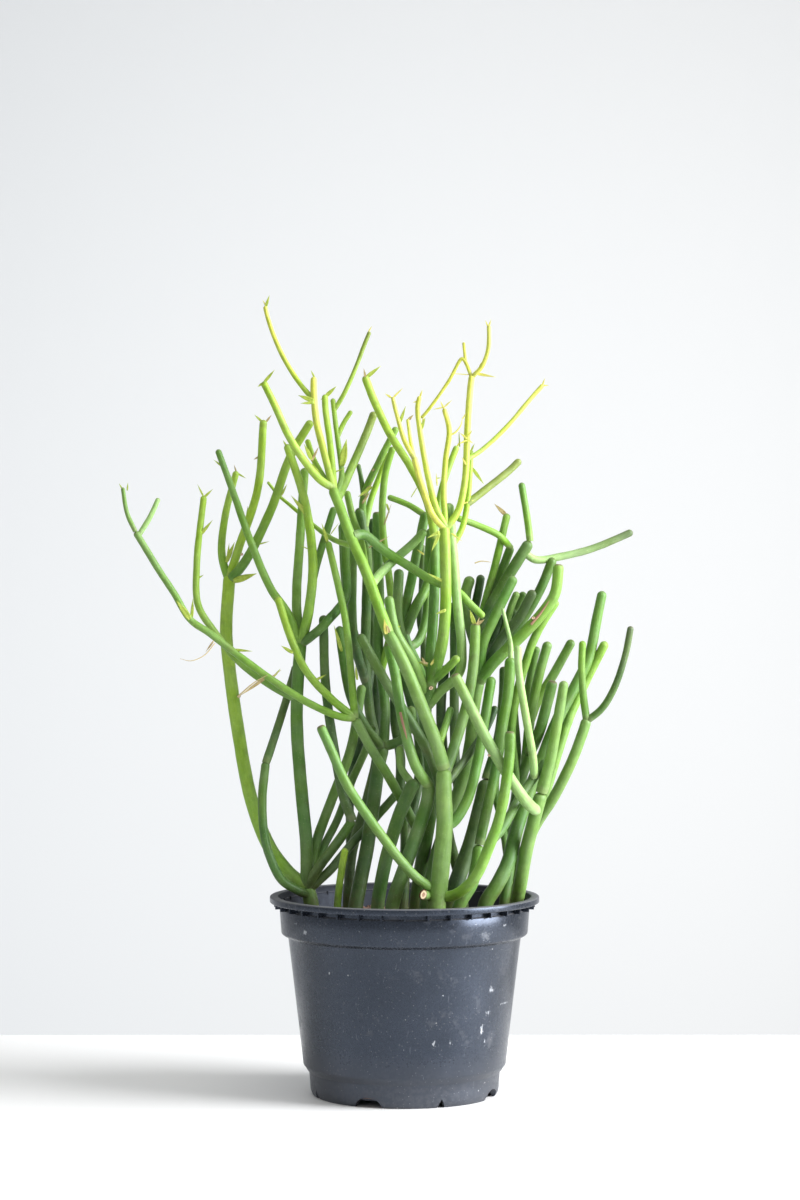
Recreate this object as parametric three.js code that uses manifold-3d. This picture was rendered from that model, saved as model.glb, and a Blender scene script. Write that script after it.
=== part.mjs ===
// A potted pencil cactus: a ribbed black nursery pot, its soil, and eighteen rooted stems of
// leafless green pencils that branch and cross, with the few small leaves that they still carry.
// Millimetres, +Z up. The origin is the middle of the pot's underside.
import * as THREE from "three";
import { mergeVertices } from "three/addons/utils/BufferGeometryUtils.js";
import Module from "manifold-3d";

const wasm = await Module();
wasm.setup();

// The pot, a 16.5 cm azalea pot.
const POT_HEIGHT = 121;
const LIP_RADIUS = 82.5;
const LIP_DROP = 3.7;
const COLLAR_RADIUS = 76.6;
const COLLAR_FOOT = 98.5;
const COLLAR_INSIDE = 74.4;
const NECK_HEIGHT = 114.2;
const NECK_STEP = 1.1;
const BODY_TOP_RADIUS = 71.3;
const BODY_TOP_HEIGHT = 96.5;
const BODY_FOOT_RADIUS = 62;
const BODY_FOOT_HEIGHT = 18.5;
const SKIRT_RADIUS = 58.5;
const SKIRT_HEIGHT = 14.5;
const FOOT_RADIUS = 56;
const FOOT_EDGE = 1.5;
const FOOT_DISC_RADIUS = 24;
const FLOOR_RECESS = 3.5;
const FLOOR_TOP = 5;
const WALL = 1;
const COLLAR_LEAN = 1.2;
const LEDGE_THICKNESS = 0.8;
const FLOOR_MARGIN = 0.6;
const POT_SEGMENTS = 36;
const WEB_COUNT = 36;
const WEB_THICKNESS = 1.2;
const WIDE_ARCH = 17;
const WIDE_ARCH_HEIGHT = 6;
const NARROW_ARCH = 5;
const NARROW_ARCH_HEIGHT = 5;
const ARCH_START = -22.5;
const ARCH_PAIRS = 4;
const NOTCH_LENGTH = 8;
const WEB_ROOT = 0.5; // how far a web runs into the neck, the collar and the lip
const WEB_SETBACK = 0.9; // from the lip's edge

// The soil.
const SOIL_HEIGHT = 107;
const SOIL_EDGE_DROP = 0.6;
const CLEARANCE = 0.3;

// The pencils.
const ROOT_DEPTH = 7;
const RING_STEP = 3.6; // pencil thicknesses from one ring of corners to the next
const THIN_PENCIL = 7;
const SIDES = 8;
const THIN_SIDES = 6;
const TIP_TAPER = 0.72;

// The leaves.
const LEAF_THICKNESS = 0.6;
const LEAF_WIDEST = 0.42; // of the way from foot to tip
const LEAF_FOOT = 0.2; // half the foot's width, as a share of the leaf's
const LEAF_BULGE = 0.8;

// Where the photograph's eye stands. Routes are written as that eye sees them, on the upright
// plane through the pot's axis, as [x, z, depth], depth being how far behind the plane they lie.
const EYE = { x: -2.76, distance: 1737, height: 302 };

// The point at a depth that the eye sees at x and z on the plane.
function sight([x, z, depth]) {
  const spread = 1 + depth / EYE.distance;
  return new THREE.Vector3(
    EYE.x + (x - EYE.x) * spread,
    depth,
    EYE.height + (z - EYE.height) * spread,
  );
}

// Each pencil is [name, the pencil it grows from, thickness at its foot, at its tip, route].
const STEMS = {
  stem_front: [
    ["trunk", "", 11.6, 9.2, [[19.5, 113, -50], [21.7, 132, -50], [23.7, 152, -50], [24.6, 165, -50],
      [24, 190, -50], [24.3, 199, -50]]],
    ["cut_low", "trunk", 6, 5.6, [[21, 122, -48], [15.5, 126, -50.5], [6.5, 132.5, -56], [-5, 145.5, -60],
      [-15, 158.8, -62], [-25, 172.8, -64], [-36, 190, -66], [-45, 210, -68], [-51.7, 225, -69]]],
    ["arc", "trunk", 6.6, 6.3, [[21, 121, -49], [27, 120.2, -51], [34, 123, -54.5], [43.9, 133, -59],
      [52.3, 152, -61], [57.2, 165, -61], [61.5, 185, -60], [64.3, 207, -58], [64.8, 221.5, -58]]],
    ["left", "trunk", 8.2, 7, [[24, 199, -50], [18.8, 216, -55], [10.5, 237, -59], [1.8, 258, -60],
      [-6.8, 276, -59], [-11, 283, -57]]],
    ["left_high", "left", 6.8, 6, [[-9.5, 280.5, -57.3], [-17.3, 302, -53], [-24.7, 322, -47],
      [-32.7, 340, -42], [-40, 360, -38], [-44.5, 371, -36]]],
    ["sweep", "left_high", 4.8, 4.2, [[-44.5, 371, -36], [-52, 376, -40], [-61.5, 387.5, -44],
      [-71.5, 403.5, -48], [-79.6, 421.5, -50], [-86.7, 436, -52]]],
    ["upright", "left_high", 4.6, 3.8, [[-43.5, 368.5, -36.5], [-45.7, 378, -34], [-50, 395, -32],
      [-54.1, 412, -30], [-55.7, 430, -28], [-55.7, 438.8, -27]]],
    ["upright_b", "left_high", 4, 3.8, [[-43, 367, -36.5], [-44.2, 384, -28], [-46, 401, -24],
      [-48.5, 419, -20], [-48.9, 428, -19]]],
    ["upright_c", "left_high", 3.6, 3, [[-42, 365, -37], [-38.5, 378, -26], [-39.7, 391, -20],
      [-42, 408, -16], [-44, 425.5, -13]]],
    ["twig", "upright_c", 2.8, 2.6, [[-43.2, 418, -14], [-37.3, 428, -13], [-30.5, 443, -11],
      [-24.4, 459, -9], [-21.3, 466.5, -8]]],
    ["right_high", "left_high", 5.4, 4.8, [[-41, 364, -36], [-36, 375, -24], [-29.4, 390, -17],
      [-21, 410, -12], [-18.5, 417.5, -12]]],
    ["yellow", "upright", 3.2, 2.6, [[-55.5, 424.5, -28], [-62.7, 432.8, -26], [-71.2, 445.3, -24],
      [-78.7, 460.3, -22], [-84.2, 476.3, -20], [-85.5, 482.3, -20]]],
    ["nub", "left_high", 3.6, 3.4, [[-44.5, 370, -36], [-50, 378, -30], [-55.5, 388, -27],
      [-59.8, 400.5, -25]]],
    ["sprig", "upright_c", 3, 2.8, [[-41, 402, -17], [-37.5, 410, -15], [-32.5, 418, -14]]],
    ["across", "left_high", 6.2, 4.4, [[-32, 341, -42], [-25, 342, -37], [-13.3, 333, -34],
      [0, 324.5, -32], [17, 314, -30.5], [31.5, 308, -30], [41, 298.8, -30], [48.8, 291.3, -30]]],
    ["thread", "left_high", 3.8, 1.8, [[-31, 336, -43], [-36, 336.3, -34], [-46, 340.5, -14],
      [-56, 348, -4], [-63, 354, 0], [-70, 360, 5], [-77, 366, 8], [-84, 374.5, 8]]],
    ["blue", "left_high", 5.5, 5.2, [[-20.5, 311, -50], [-15, 318, -38], [-8, 325, -30],
      [6, 337.5, -24], [13, 345, -23]]],
    ["rise", "trunk", 6.4, 6, [[25.5, 163, -49], [31, 167, -47], [39, 181, -41], [45, 204, -35],
      [49.2, 229, -30], [53.5, 255, -26]]],
    ["slant", "trunk", 4.6, 4.4, [[24.5, 187, -49], [29, 193.5, -41], [36.5, 203.5, -31],
      [50, 223, -20], [56, 237, -16]]],
    ["middle", "trunk", 6.6, 6.2, [[25, 196, -49], [31, 214, -43], [38, 237.5, -40], [42.2, 262, -39],
      [43.5, 287.5, -38]]],
    ["short", "left", 4.6, 4.4, [[20.5, 209, -52], [22, 216, -45], [25, 224.5, -40],
      [28.6, 236.5, -35]]],
    ["under", "arc", 5.6, 5.4, [[54, 155, -60], [60, 162, -51], [68.5, 177, -35], [73, 184.5, -29],
      [78, 191.3, -26], [82.5, 197.5, -23], [87, 204, -21]]],
    ["pale", "under", 5, 4.6, [[79.5, 193.5, -27], [78.8, 205, -34], [74.3, 231, -43],
      [70.1, 258, -45], [69.3, 274, -45]]],
  ],
  stem_right_trunk: [
    ["trunk", "", 8.4, 8, [[68.8, 115, -4], [71.2, 129, -10], [75, 150, -20], [80.4, 171, -25],
      [84, 184, -27]]],
    ["top", "trunk", 7.4, 5.6, [[84, 184, -27], [88.8, 202, -29], [93.3, 225, -31],
      [98, 252.5, -33]]],
    ["back_swept", "trunk", 7, 6.4, [[80.5, 173, -27], [77, 176, -38], [73, 180.5, -45],
      [68, 187.7, -48], [57, 205, -54], [47.5, 222, -58], [36, 245.5, -62], [30.5, 256.5, -63]]],
  ],
  stem_right_long: [
    ["trunk", "", 9.5, 6, [[49.5, 115, -25], [56.5, 127, -24], [63.4, 141, -20], [69, 162, -12],
      [76, 183, -6], [84.5, 205, 0], [93.5, 228, 6], [104.5, 249, 12], [113, 267, 16],
      [118, 291, 19], [121.5, 307.5, 20]]],
  ],
  stem_right_outer: [
    ["trunk", "", 7, 6.4, [[63, 113, 23], [65.2, 119, 23], [70.5, 140, 20], [80, 163, 8],
      [91.5, 181, -2], [102.5, 203, -8], [109.7, 222, -8], [112, 229.5, -8]]],
    ["bright", "trunk", 4.6, 4.4, [[111.7, 228, -8], [109.7, 243, -9], [108.6, 262, -9],
      [109.2, 277, -9]]],
    ["hook", "trunk", 4.4, 4, [[112, 228, -8], [121, 235.5, -10], [129, 249, -12], [135.5, 269, -14],
      [138.8, 286, -15]]],
    ["inner", "trunk", 6, 5.6, [[81, 165, 7.5], [88.5, 190, 8], [94.5, 210, 10.5], [101.5, 231, 14],
      [111, 252, 18.5], [123.5, 276.5, 16]]],
  ],
  stem_right_back: [
    ["trunk", "", 6.5, 6.5, [[61, 116, 10], [64.3, 138, 12], [64.5, 162, 14], [70, 186, 14],
      [76.5, 208, 12]]],
    ["near", "trunk", 7, 6.6, [[76.5, 208, 12], [82.5, 221, 6], [87.8, 240, 2], [91, 252.5, 0]]],
    ["mid", "trunk", 6.3, 6, [[74.5, 203, 13], [77, 229, 16], [82.5, 256, 15], [88.2, 276.5, 13]]],
    ["rear", "mid", 5, 4.8, [[76.5, 224, 17], [75, 240, 22], [79, 264, 23], [81.3, 273.5, 23]]],
    ["fan", "mid", 6, 5.6, [[77, 228, 16], [81.5, 240, 22], [92, 257.5, 27], [103, 277.5, 29]]],
    ["thin", "trunk", 4.5, 4.3, [[66.5, 174, 14], [69.5, 203, 18], [68, 228, 17], [67, 241, 16]]],
    ["lit", "trunk", 5.6, 5.2, [[69.5, 184, 14], [67, 204, 10], [65.5, 222, 6], [68.5, 243, 4],
      [74.5, 264, 3], [78.5, 276, 2], [84, 287, 1], [93.5, 302, 0]]],
    ["low", "trunk", 5, 4.6, [[64, 128, 11], [63, 145, 12], [60, 165, 12], [56, 182, 12],
      [56, 195, 12], [57, 215, 10]]],
  ],
  stem_dark_right: [
    ["trunk", "", 10, 9.4, [[27.5, 114, -26], [32.2, 130, -25], [39.7, 150, -22],
      [45.3, 170, -18], [50.5, 192, -14]]],
    ["top", "trunk", 7, 6.2, [[50.5, 192, -14], [58, 218, -6], [60.8, 244, 3], [61.2, 261, 6]]],
  ],
  stem_right_near: [
    ["trunk", "", 8.5, 7, [[33, 113, -38], [42, 130, -37], [45.8, 152, -35]]],
    ["top", "trunk", 6, 6.8, [[45.8, 152, -35], [50.8, 175, -33], [56, 198, -30], [59.5, 222, -28],
      [63.5, 246, -26], [65, 267, -26]]],
    ["spike", "top", 3.2, 2, [[65, 265, -26], [65, 275, -26], [61.5, 291, -27], [60, 297, -27]]],
  ],
  stem_dark_diagonal: [
    ["trunk", "", 6.4, 6, [[36, 115, 5], [34, 130, 0], [27.5, 156, -11], [22, 187, -26],
      [17, 203, -33], [6, 224, -34], [-4, 239.5, -34], [-16, 259.5, -32], [-27.8, 281, -30]]],
  ],
  stem_center: [
    ["trunk", "", 9, 7.4, [[7, 114, 12], [10.5, 140, 6], [15.5, 170, -6], [17, 185, -12],
      [15.5, 205, -18], [12.8, 225, -24], [13.5, 240, -28], [17, 252, -31]]],
    ["main", "trunk", 7, 6.6, [[15.6, 248.5, -30.2], [22.4, 272, -37], [25, 295, -41],
      [25.1, 325, -43], [24.4, 348, -43]]],
    ["beside", "trunk", 6, 5.8, [[13.5, 236, -27], [21, 245, -30], [33.5, 257.5, -34],
      [35, 273, -36], [32.5, 298, -37], [30.3, 324, -37], [27.2, 361.5, -37]]],
    ["behind", "trunk", 6.4, 6, [[16.8, 251, -31], [15.8, 265, -29], [17.3, 287, -24],
      [18.6, 315, -21], [18.5, 343, -19]]],
    ["left_a", "trunk", 6.2, 5.8, [[14, 243, -28], [4, 266, -40], [-5.5, 283, -45],
      [-10, 304.5, -46]]],
    ["left_b", "trunk", 6.3, 6, [[13.5, 245, -28], [3, 267, -22], [-3.7, 288, -22],
      [-3.4, 321, -22]]],
    ["left_c", "trunk", 6.2, 5.8, [[14, 247, -29], [8, 262, -18], [-0.3, 283, -13], [5, 318, -13],
      [13, 356, -10]]],
    ["stub_left", "left_c", 3.8, 3.6, [[12.6, 354, -10], [2, 360.5, -9], [-10.3, 365.3, -8]]],
    ["step", "left_c", 5.5, 5.2, [[2.5, 273, -15], [8, 276.5, -9], [13.4, 292, -4],
      [14.3, 320, -2], [16, 346, 0]]],
    ["lean", "left_c", 6.5, 6, [[0, 281, -13], [6, 296, -15], [14, 311, -9], [19, 331, -6],
      [19.5, 342, -5]]],
    ["bright", "main", 5, 4.8, [[17.5, 252, -31], [26, 260, -43], [33, 267.3, -49]]],
    ["red_tip", "behind", 4.6, 4.8, [[18.5, 340, -20], [13.5, 363, -31], [4, 383, -30],
      [-8.5, 403, -27], [-19, 425, -24], [-24.5, 439.5, -22]]],
    ["yellow_a", "main", 4.3, 3.4, [[25.7, 345, -43], [17.5, 354, -47], [10.7, 372, -50],
      [5.7, 390, -52]]],
    ["yellow_a_top", "yellow_a", 3.2, 2.4, [[5.9, 389, -52], [0, 400, -53], [-5.3, 418, -54],
      [-7.3, 426.5, -54]]],
    ["yellow_a_side", "yellow_a", 2.4, 2, [[5.9, 389, -52], [3.7, 400, -51], [1.9, 413, -51]]],
    ["yellow_b", "main", 4.2, 2.8, [[25.6, 346, -43], [19.5, 358, -47], [14.5, 377, -49],
      [9.4, 406, -49], [8, 420, -49], [9.3, 427, -49]]],
    ["yellow_c", "main", 3.8, 3, [[25.6, 345, -43], [24, 366, -41], [25.3, 389, -39],
      [27.4, 406, -38], [24.2, 419.5, -38]]],
    ["yellow_d", "main", 4.4, 3.6, [[25.6, 346, -43], [33, 357, -41], [37, 375, -39],
      [38.6, 408, -36], [40.2, 431, -34], [41.3, 440, -33]]],
    ["wire_left", "yellow_d", 2.2, 2, [[41.2, 438.5, -33], [37, 448.5, -33], [35.3, 450, -33],
      [27, 436, -31], [15, 419, -29], [10.3, 413.5, -28]]],
    ["wire_right", "yellow_d", 2.8, 2.4, [[41.2, 438.5, -33], [47.3, 445, -35], [51.3, 456, -37],
      [51.7, 470.5, -38]]],
    ["wire_top", "wire_left", 1.9, 1.7, [[37.6, 446.5, -33], [36.2, 460, -33]]],
    ["yellow_e", "beside", 3.6, 3.4, [[29.4, 335, -37], [35.3, 346, -35], [38.7, 363, -32],
      [40.7, 394, -29]]],
    ["olive", "yellow_e", 4.6, 4.4, [[38.5, 361, -32], [50, 370, -26], [65, 382, -19],
      [71, 388, -17]]],
    ["far_twig", "yellow_d", 2.8, 2.6, [[38.2, 388, -38], [47, 393.7, -33], [62, 407.5, -27],
      [77, 425, -21], [85, 434, -18]]],
    ["yellow_f", "behind", 4, 3.8, [[18.5, 341, -19], [21.8, 366, -16], [28.5, 387, -12],
      [32.3, 396.5, -10]]],
  ],
  stem_back_right: [
    ["trunk", "", 8, 7.4, [[13, 114, -10], [18.5, 142, -2], [27, 168, 5], [34.5, 189, 6],
      [40, 212, 4], [43, 239, 2], [46, 254, 0]]],
    ["front_slant", "trunk", 7.4, 6.6, [[45.7, 252, 0], [54.5, 263.5, -5], [70, 278.5, -8],
      [84, 293.3, -10], [92, 305.5, -10], [94.6, 324, -10]]],
    ["rear_slant", "trunk", 6.2, 6, [[45.5, 252, 1], [54, 268, 8], [70, 286.5, 11], [82.5, 307, 11],
      [91.3, 328, 11]]],
    ["mid_slant", "trunk", 6.2, 6, [[45.8, 253, 0], [57.5, 275.5, 2], [70, 291, 0],
      [79.3, 308, 0]]],
    ["near_rise", "trunk", 6.5, 6.2, [[46, 254, 0], [47.8, 274, -5], [54, 289, -6],
      [67.4, 316.5, -6]]],
    ["light", "rear_slant", 4.6, 4.4, [[54.5, 268.5, 8], [60, 280, 13], [66, 299.5, 12],
      [69.3, 307, 11]]],
    ["far_a", "rear_slant", 5, 4.8, [[62, 278, 10], [66, 292, 18], [73.5, 307, 18]]],
    ["far_b", "rear_slant", 5, 4.8, [[59, 274, 9], [65, 288, 17], [67.3, 296.5, 17]]],
    ["high", "trunk", 7.4, 6.8, [[45.8, 253, 0], [46, 275, 6], [50.5, 293, 9], [60.3, 311, 9],
      [72, 330, 7], [77, 338, 6]]],
    ["high_top", "high", 4.4, 4.2, [[77, 338, 6], [75.5, 350, 6], [71.6, 374, 6]]],
    ["outrigger", "high", 4.8, 4.6, [[73, 331.5, 7], [80, 326.8, 9], [95, 328.5, 15],
      [115, 333.5, 21], [139.8, 343.8, 28]]],
    ["curled_tip", "high", 4.8, 4.6, [[45.8, 268, 4], [45, 280, 12], [49.5, 301, 13],
      [55.5, 323, 11], [63, 355, 8]]],
    ["kink", "high", 6, 5.4, [[47, 284, 7.5], [54.5, 307, 16], [62, 326, 15], [65.3, 335, 12]]],
    ["crossbar", "kink", 4.2, 4, [[65, 334, 12], [58, 341.5, 3], [45, 347.7, -1],
      [31.8, 352.5, -5]]],
    ["fill", "high", 5.5, 5, [[46.2, 262, 3], [51.5, 272, 12], [56, 282, 14], [60, 293, 15]]],
    ["dark_a", "high", 7, 6.8, [[45.8, 268, 4], [40.5, 285, 15], [37.3, 304, 19],
      [40.6, 316.5, 19]]],
    ["dark_b", "high", 5.6, 5.4, [[46, 270, 5], [42.5, 290, 20], [45.8, 310, 22],
      [47, 317.5, 22]]],
    ["shade_a", "trunk", 6.6, 6, [[27, 168, 5], [26, 185, 16], [23.5, 210, 22], [22.5, 240, 24],
      [25, 262, 24]]],
    ["shade_b", "trunk", 6.2, 5.4, [[33, 186, 6], [31, 205, 16], [30.5, 235, 20], [30.5, 270, 23],
      [30.5, 301, 23]]],
  ],
  stem_light_left: [
    ["trunk", "", 6.2, 5.8, [[22, 114, 28], [16.5, 141, 21], [8, 160, 12], [0, 176, 0],
      [-10.5, 195, -14], [-20, 210, -20], [-30.5, 229.5, -24]]],
    ["long", "trunk", 4.6, 4, [[-30.5, 229.5, -24], [-40, 230.7, -27], [-60, 239.5, -30],
      [-80, 252.2, -32], [-100, 266.7, -34], [-120, 282, -36], [-131.3, 290, -37],
      [-141.2, 306, -39], [-151.2, 321.3, -41], [-165, 344, -43]]],
    ["long_top", "long", 3, 2.4, [[-165, 344, -43], [-170, 355, -44], [-172.8, 371, -45]]],
    ["long_side", "long", 3.3, 3.1, [[-163, 341.5, -42], [-156, 353, -40], [-150.7, 364.5, -39]]],
    ["bright", "trunk", 5, 4.6, [[-30.5, 229.5, -24], [-44.7, 241.3, -27], [-60, 258, -27],
      [-68.7, 276, -27], [-78, 304, -27]]],
    ["light", "trunk", 4.7, 4.2, [[-30.5, 229.5, -24], [-33, 260, -24], [-36.3, 290, -24],
      [-40, 308, -24], [-47, 338, -24]]],
  ],
  stem_mid_left: [
    ["trunk", "", 9.2, 8, [[-30, 113, -8], [-27, 130, -5], [-23, 150, -2], [-18.7, 180, 1],
      [-15.8, 201, 3], [-12.8, 213, 4]]],
    ["dark", "trunk", 6, 5.6, [[-13.2, 211, 4], [-24, 224.5, -7], [-33, 243, -10], [-38, 270, -12],
      [-40, 286, -12]]],
    ["tall", "trunk", 6.5, 6, [[-12.8, 212, 4], [-12, 235, 7], [-16, 272, 8], [-15.4, 300, 8],
      [-16.3, 330, 8], [-16.7, 356, 8]]],
    ["spur", "trunk", 6, 5.4, [[-12.8, 212, 4], [-1.5, 216.5, 0], [4.5, 229, 0], [3.5, 237, 0]]],
    ["rear", "tall", 5, 4.2, [[-14.5, 258, 8], [-7.5, 288, 3], [-9, 312, 2], [-13.5, 347, 2],
      [-12, 378, 0], [-7, 396, -2]]],
  ],
  stem_back_left: [
    ["trunk", "", 6.4, 6, [[-34.8, 113, 22], [-32, 148, 22], [-22, 183, 24], [-17, 208, 25],
      [-21.5, 235, 28], [-24, 265, 28], [-23.3, 300, 25], [-23, 330, 20], [-28, 358.5, 15]]],
    ["outer", "trunk", 5.6, 5.4, [[-24, 258, 28], [-33, 290, 27], [-36.5, 317, 25],
      [-38, 349, 23]]],
    ["inner", "trunk", 6, 5.6, [[-23.8, 252, 28], [-31, 278, 20], [-32, 320, 15],
      [-31, 337, 14]]],
    ["strip", "trunk", 4.4, 4.2, [[-23, 312, 22], [-26.5, 338, 13], [-31.5, 352, 11],
      [-35.5, 369, 10]]],
    ["leaning", "trunk", 4.6, 4.2, [[-22.8, 338, 19], [-25.5, 363, 15], [-15, 388, 6],
      [-4.7, 408, 4]]],
    ["little", "leaning", 3, 2.8, [[-25.2, 364, 15], [-26.5, 376, 14], [-28.5, 385.5, 14]]],
    ["lit", "trunk", 4, 3.6, [[-24, 347, 17], [-21, 362, 20], [-14.5, 380, 20], [-10, 392, 18]]],
    ["deep", "trunk", 5, 4.6, [[-22.5, 246, 28], [-20, 262, 36], [-19.8, 290, 38],
      [-19.8, 322, 38], [-19.8, 352, 36]]],
    ["shaded", "trunk", 5, 4.6, [[-17, 208, 25], [-16.5, 222, 33], [-17.5, 245, 36],
      [-16.5, 268, 36]]],
    ["cross", "trunk", 5.4, 5, [[-33, 140, 22], [-33.5, 165, 30], [-33, 190, 34],
      [-28.5, 210, 36], [-26, 220, 36]]],
  ],
  stem_back_middle: [
    ["trunk", "", 7, 6.4, [[-1, 113, 24], [0, 135, 26], [0.6, 157, 28], [-0.5, 172, 30]]],
    ["top", "trunk", 6.4, 5.6, [[-0.5, 172, 30], [-2.5, 188, 32], [-2.5, 205, 33], [-6, 228, 34],
      [-6, 252, 34]]],
    ["rise", "trunk", 6.4, 6, [[0.5, 158, 28], [6, 178, 33], [9.5, 200, 34], [8, 222, 34],
      [3, 243, 34], [-1.5, 260, 34]]],
    ["column", "rise", 4.5, 4.3, [[8, 222, 34], [11, 250, 35], [11.8, 275, 36], [9.5, 290, 36],
      [10.8, 310, 36], [11, 336, 36]]],
  ],
  stem_blue_green: [
    ["trunk", "", 8, 8, [[-16.5, 114, -30], [-12, 140, -30], [-4, 168, -30], [3.2, 185, -30],
      [6.5, 192, -29]]],
    ["stub", "trunk", 4.6, 4.4, [[5, 189, -29], [-2, 199, -29], [-2.8, 213, -29]]],
  ],
  stem_olive: [
    ["trunk", "", 8.6, 8, [[-7.5, 114, -44], [1, 140.5, -44], [8, 160, -44], [14, 179, -44],
      [15.2, 190, -45]]],
    ["scarred", "trunk", 6.6, 6, [[15, 188, -45], [7, 200, -52], [-1.1, 228, -52],
      [-6, 258, -46], [-10, 275, -44]]],
  ],
  stem_left: [
    ["trunk", "", 9.5, 8.8, [[-57, 115, -5], [-60, 127, -5]]],
    ["outer", "trunk", 8.5, 7.6, [[-60, 126, -5], [-71, 135, -2], [-83, 151, 2], [-94, 180, 7],
      [-101.7, 220, 11], [-107.3, 260, 13], [-109.3, 283, 14], [-107.2, 318, 14]]],
    ["outer_a", "outer", 5.3, 4, [[-107.5, 313, 14], [-112, 330, 17], [-110, 353, 19],
      [-103, 381, 20]]],
    ["outer_b", "outer", 5.5, 4.7, [[-107.3, 316, 14], [-101.6, 334, 13], [-90, 370, 10],
      [-86.4, 412.5, 8]]],
    ["outer_c", "outer", 6, 5, [[-107.3, 314, 14], [-98, 325, 6], [-82, 357, 1], [-70, 390, -2],
      [-57, 412, -4]]],
    ["bowed", "trunk", 5.5, 5.3, [[-58.5, 121, -5], [-64.8, 123.7, -13], [-74.9, 130, -17],
      [-81.3, 141.6, -18], [-85.6, 156, -18], [-87.2, 180, -17], [-85, 203, -15]]],
    ["bowed_top", "bowed", 5.2, 4.8, [[-85, 202, -15], [-79, 220, -11], [-72.7, 240, -3],
      [-66.5, 262, 3]]],
    ["inner", "trunk", 8, 7.4, [[-60, 126, -5], [-60, 150, -7], [-62.7, 180, -9], [-65.8, 220, -10],
      [-65.8, 245, -11], [-63.5, 278, -11]]],
    ["inner_far", "inner", 5.5, 3.8, [[-63.8, 274, -11], [-71.3, 293.3, -15], [-82, 309, -17],
      [-94.8, 339, -18], [-104.3, 366, -18], [-114.6, 394.3, -18]]],
    ["inner_rise", "inner", 6, 5.2, [[-63.7, 274, -11], [-66.2, 300, -8], [-64, 340, -8],
      [-61.2, 383, -8]]],
    ["inner_near", "inner", 6.4, 4.8, [[-63.6, 275, -11], [-58.8, 295, -18], [-56.2, 325, -21],
      [-61.5, 364, -23], [-72.3, 397.5, -25]]],
    ["inner_right", "inner", 5.6, 5.4, [[-63.5, 275, -11], [-52, 284, -21], [-46.5, 290, -21],
      [-41, 296, -14], [-36, 304, -8], [-36.1, 325, -6], [-37.1, 352, -6]]],
    ["inner_thin", "inner", 4.8, 4.6, [[-63.4, 276, -11], [-59.5, 295, -6], [-55, 319, -1],
      [-43, 359, 2]]],
    ["far_left", "inner", 4.8, 4, [[-65.8, 241, -11], [-80, 248.5, -16], [-100, 263, -16],
      [-118, 284.5, -16], [-126.5, 299, -17], [-127.3, 325, -17], [-123, 366, -17]]],
    ["olive", "trunk", 6.4, 5.8, [[-60, 126, -5], [-54.5, 152, -1], [-44.3, 180.5, 1],
      [-33, 210.5, 2], [-26, 250, 5]]],
    ["narrow", "trunk", 5, 4.8, [[-60, 126, -5], [-51, 148, 3], [-41.3, 167, 10],
      [-31.5, 193, 10], [-23.5, 211, 13], [-19, 225, 10]]],
    ["dark", "trunk", 6.2, 5.8, [[-60, 125, -5], [-54, 136, -10], [-38.5, 157, -19],
      [-31.5, 167.5, -22]]],
    ["dark_top", "dark", 5.8, 5.6, [[-31.8, 166.5, -22], [-37, 180, -22], [-43, 210, -19],
      [-48.4, 250, -16], [-49.7, 292.7, -14]]],
    ["low", "trunk", 5.6, 5.2, [[-59.5, 124, -5], [-46.5, 135.5, -6], [-34.4, 150, 1],
      [-20, 166, 12], [-4, 184, 12]]],
  ],
  stem_short: [
    ["trunk", "", 4.6, 4.2, [[-41, 116, -24], [-38.8, 135, -24], [-36.3, 150, -24]]],
  ],
};

// Stem colours, from fresh yellow green to the shaded blue green of the old wood.
const STEM_COLOURS = {
  stem_front: "#6f9148",
  stem_right_trunk: "#8aa866",
  stem_right_long: "#7f9f55",
  stem_right_outer: "#86a548",
  stem_right_back: "#648b3c",
  stem_dark_right: "#3c6228",
  stem_right_near: "#5b8438",
  stem_dark_diagonal: "#3f6a34",
  stem_center: "#6b9138",
  stem_back_right: "#5f8540",
  stem_light_left: "#8fb04f",
  stem_mid_left: "#507a36",
  stem_back_left: "#4f7a3c",
  stem_back_middle: "#3f6530",
  stem_blue_green: "#4c7a4a",
  stem_olive: "#58793a",
  stem_left: "#7a9a45",
  stem_short: "#9cbc45",
};

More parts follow.
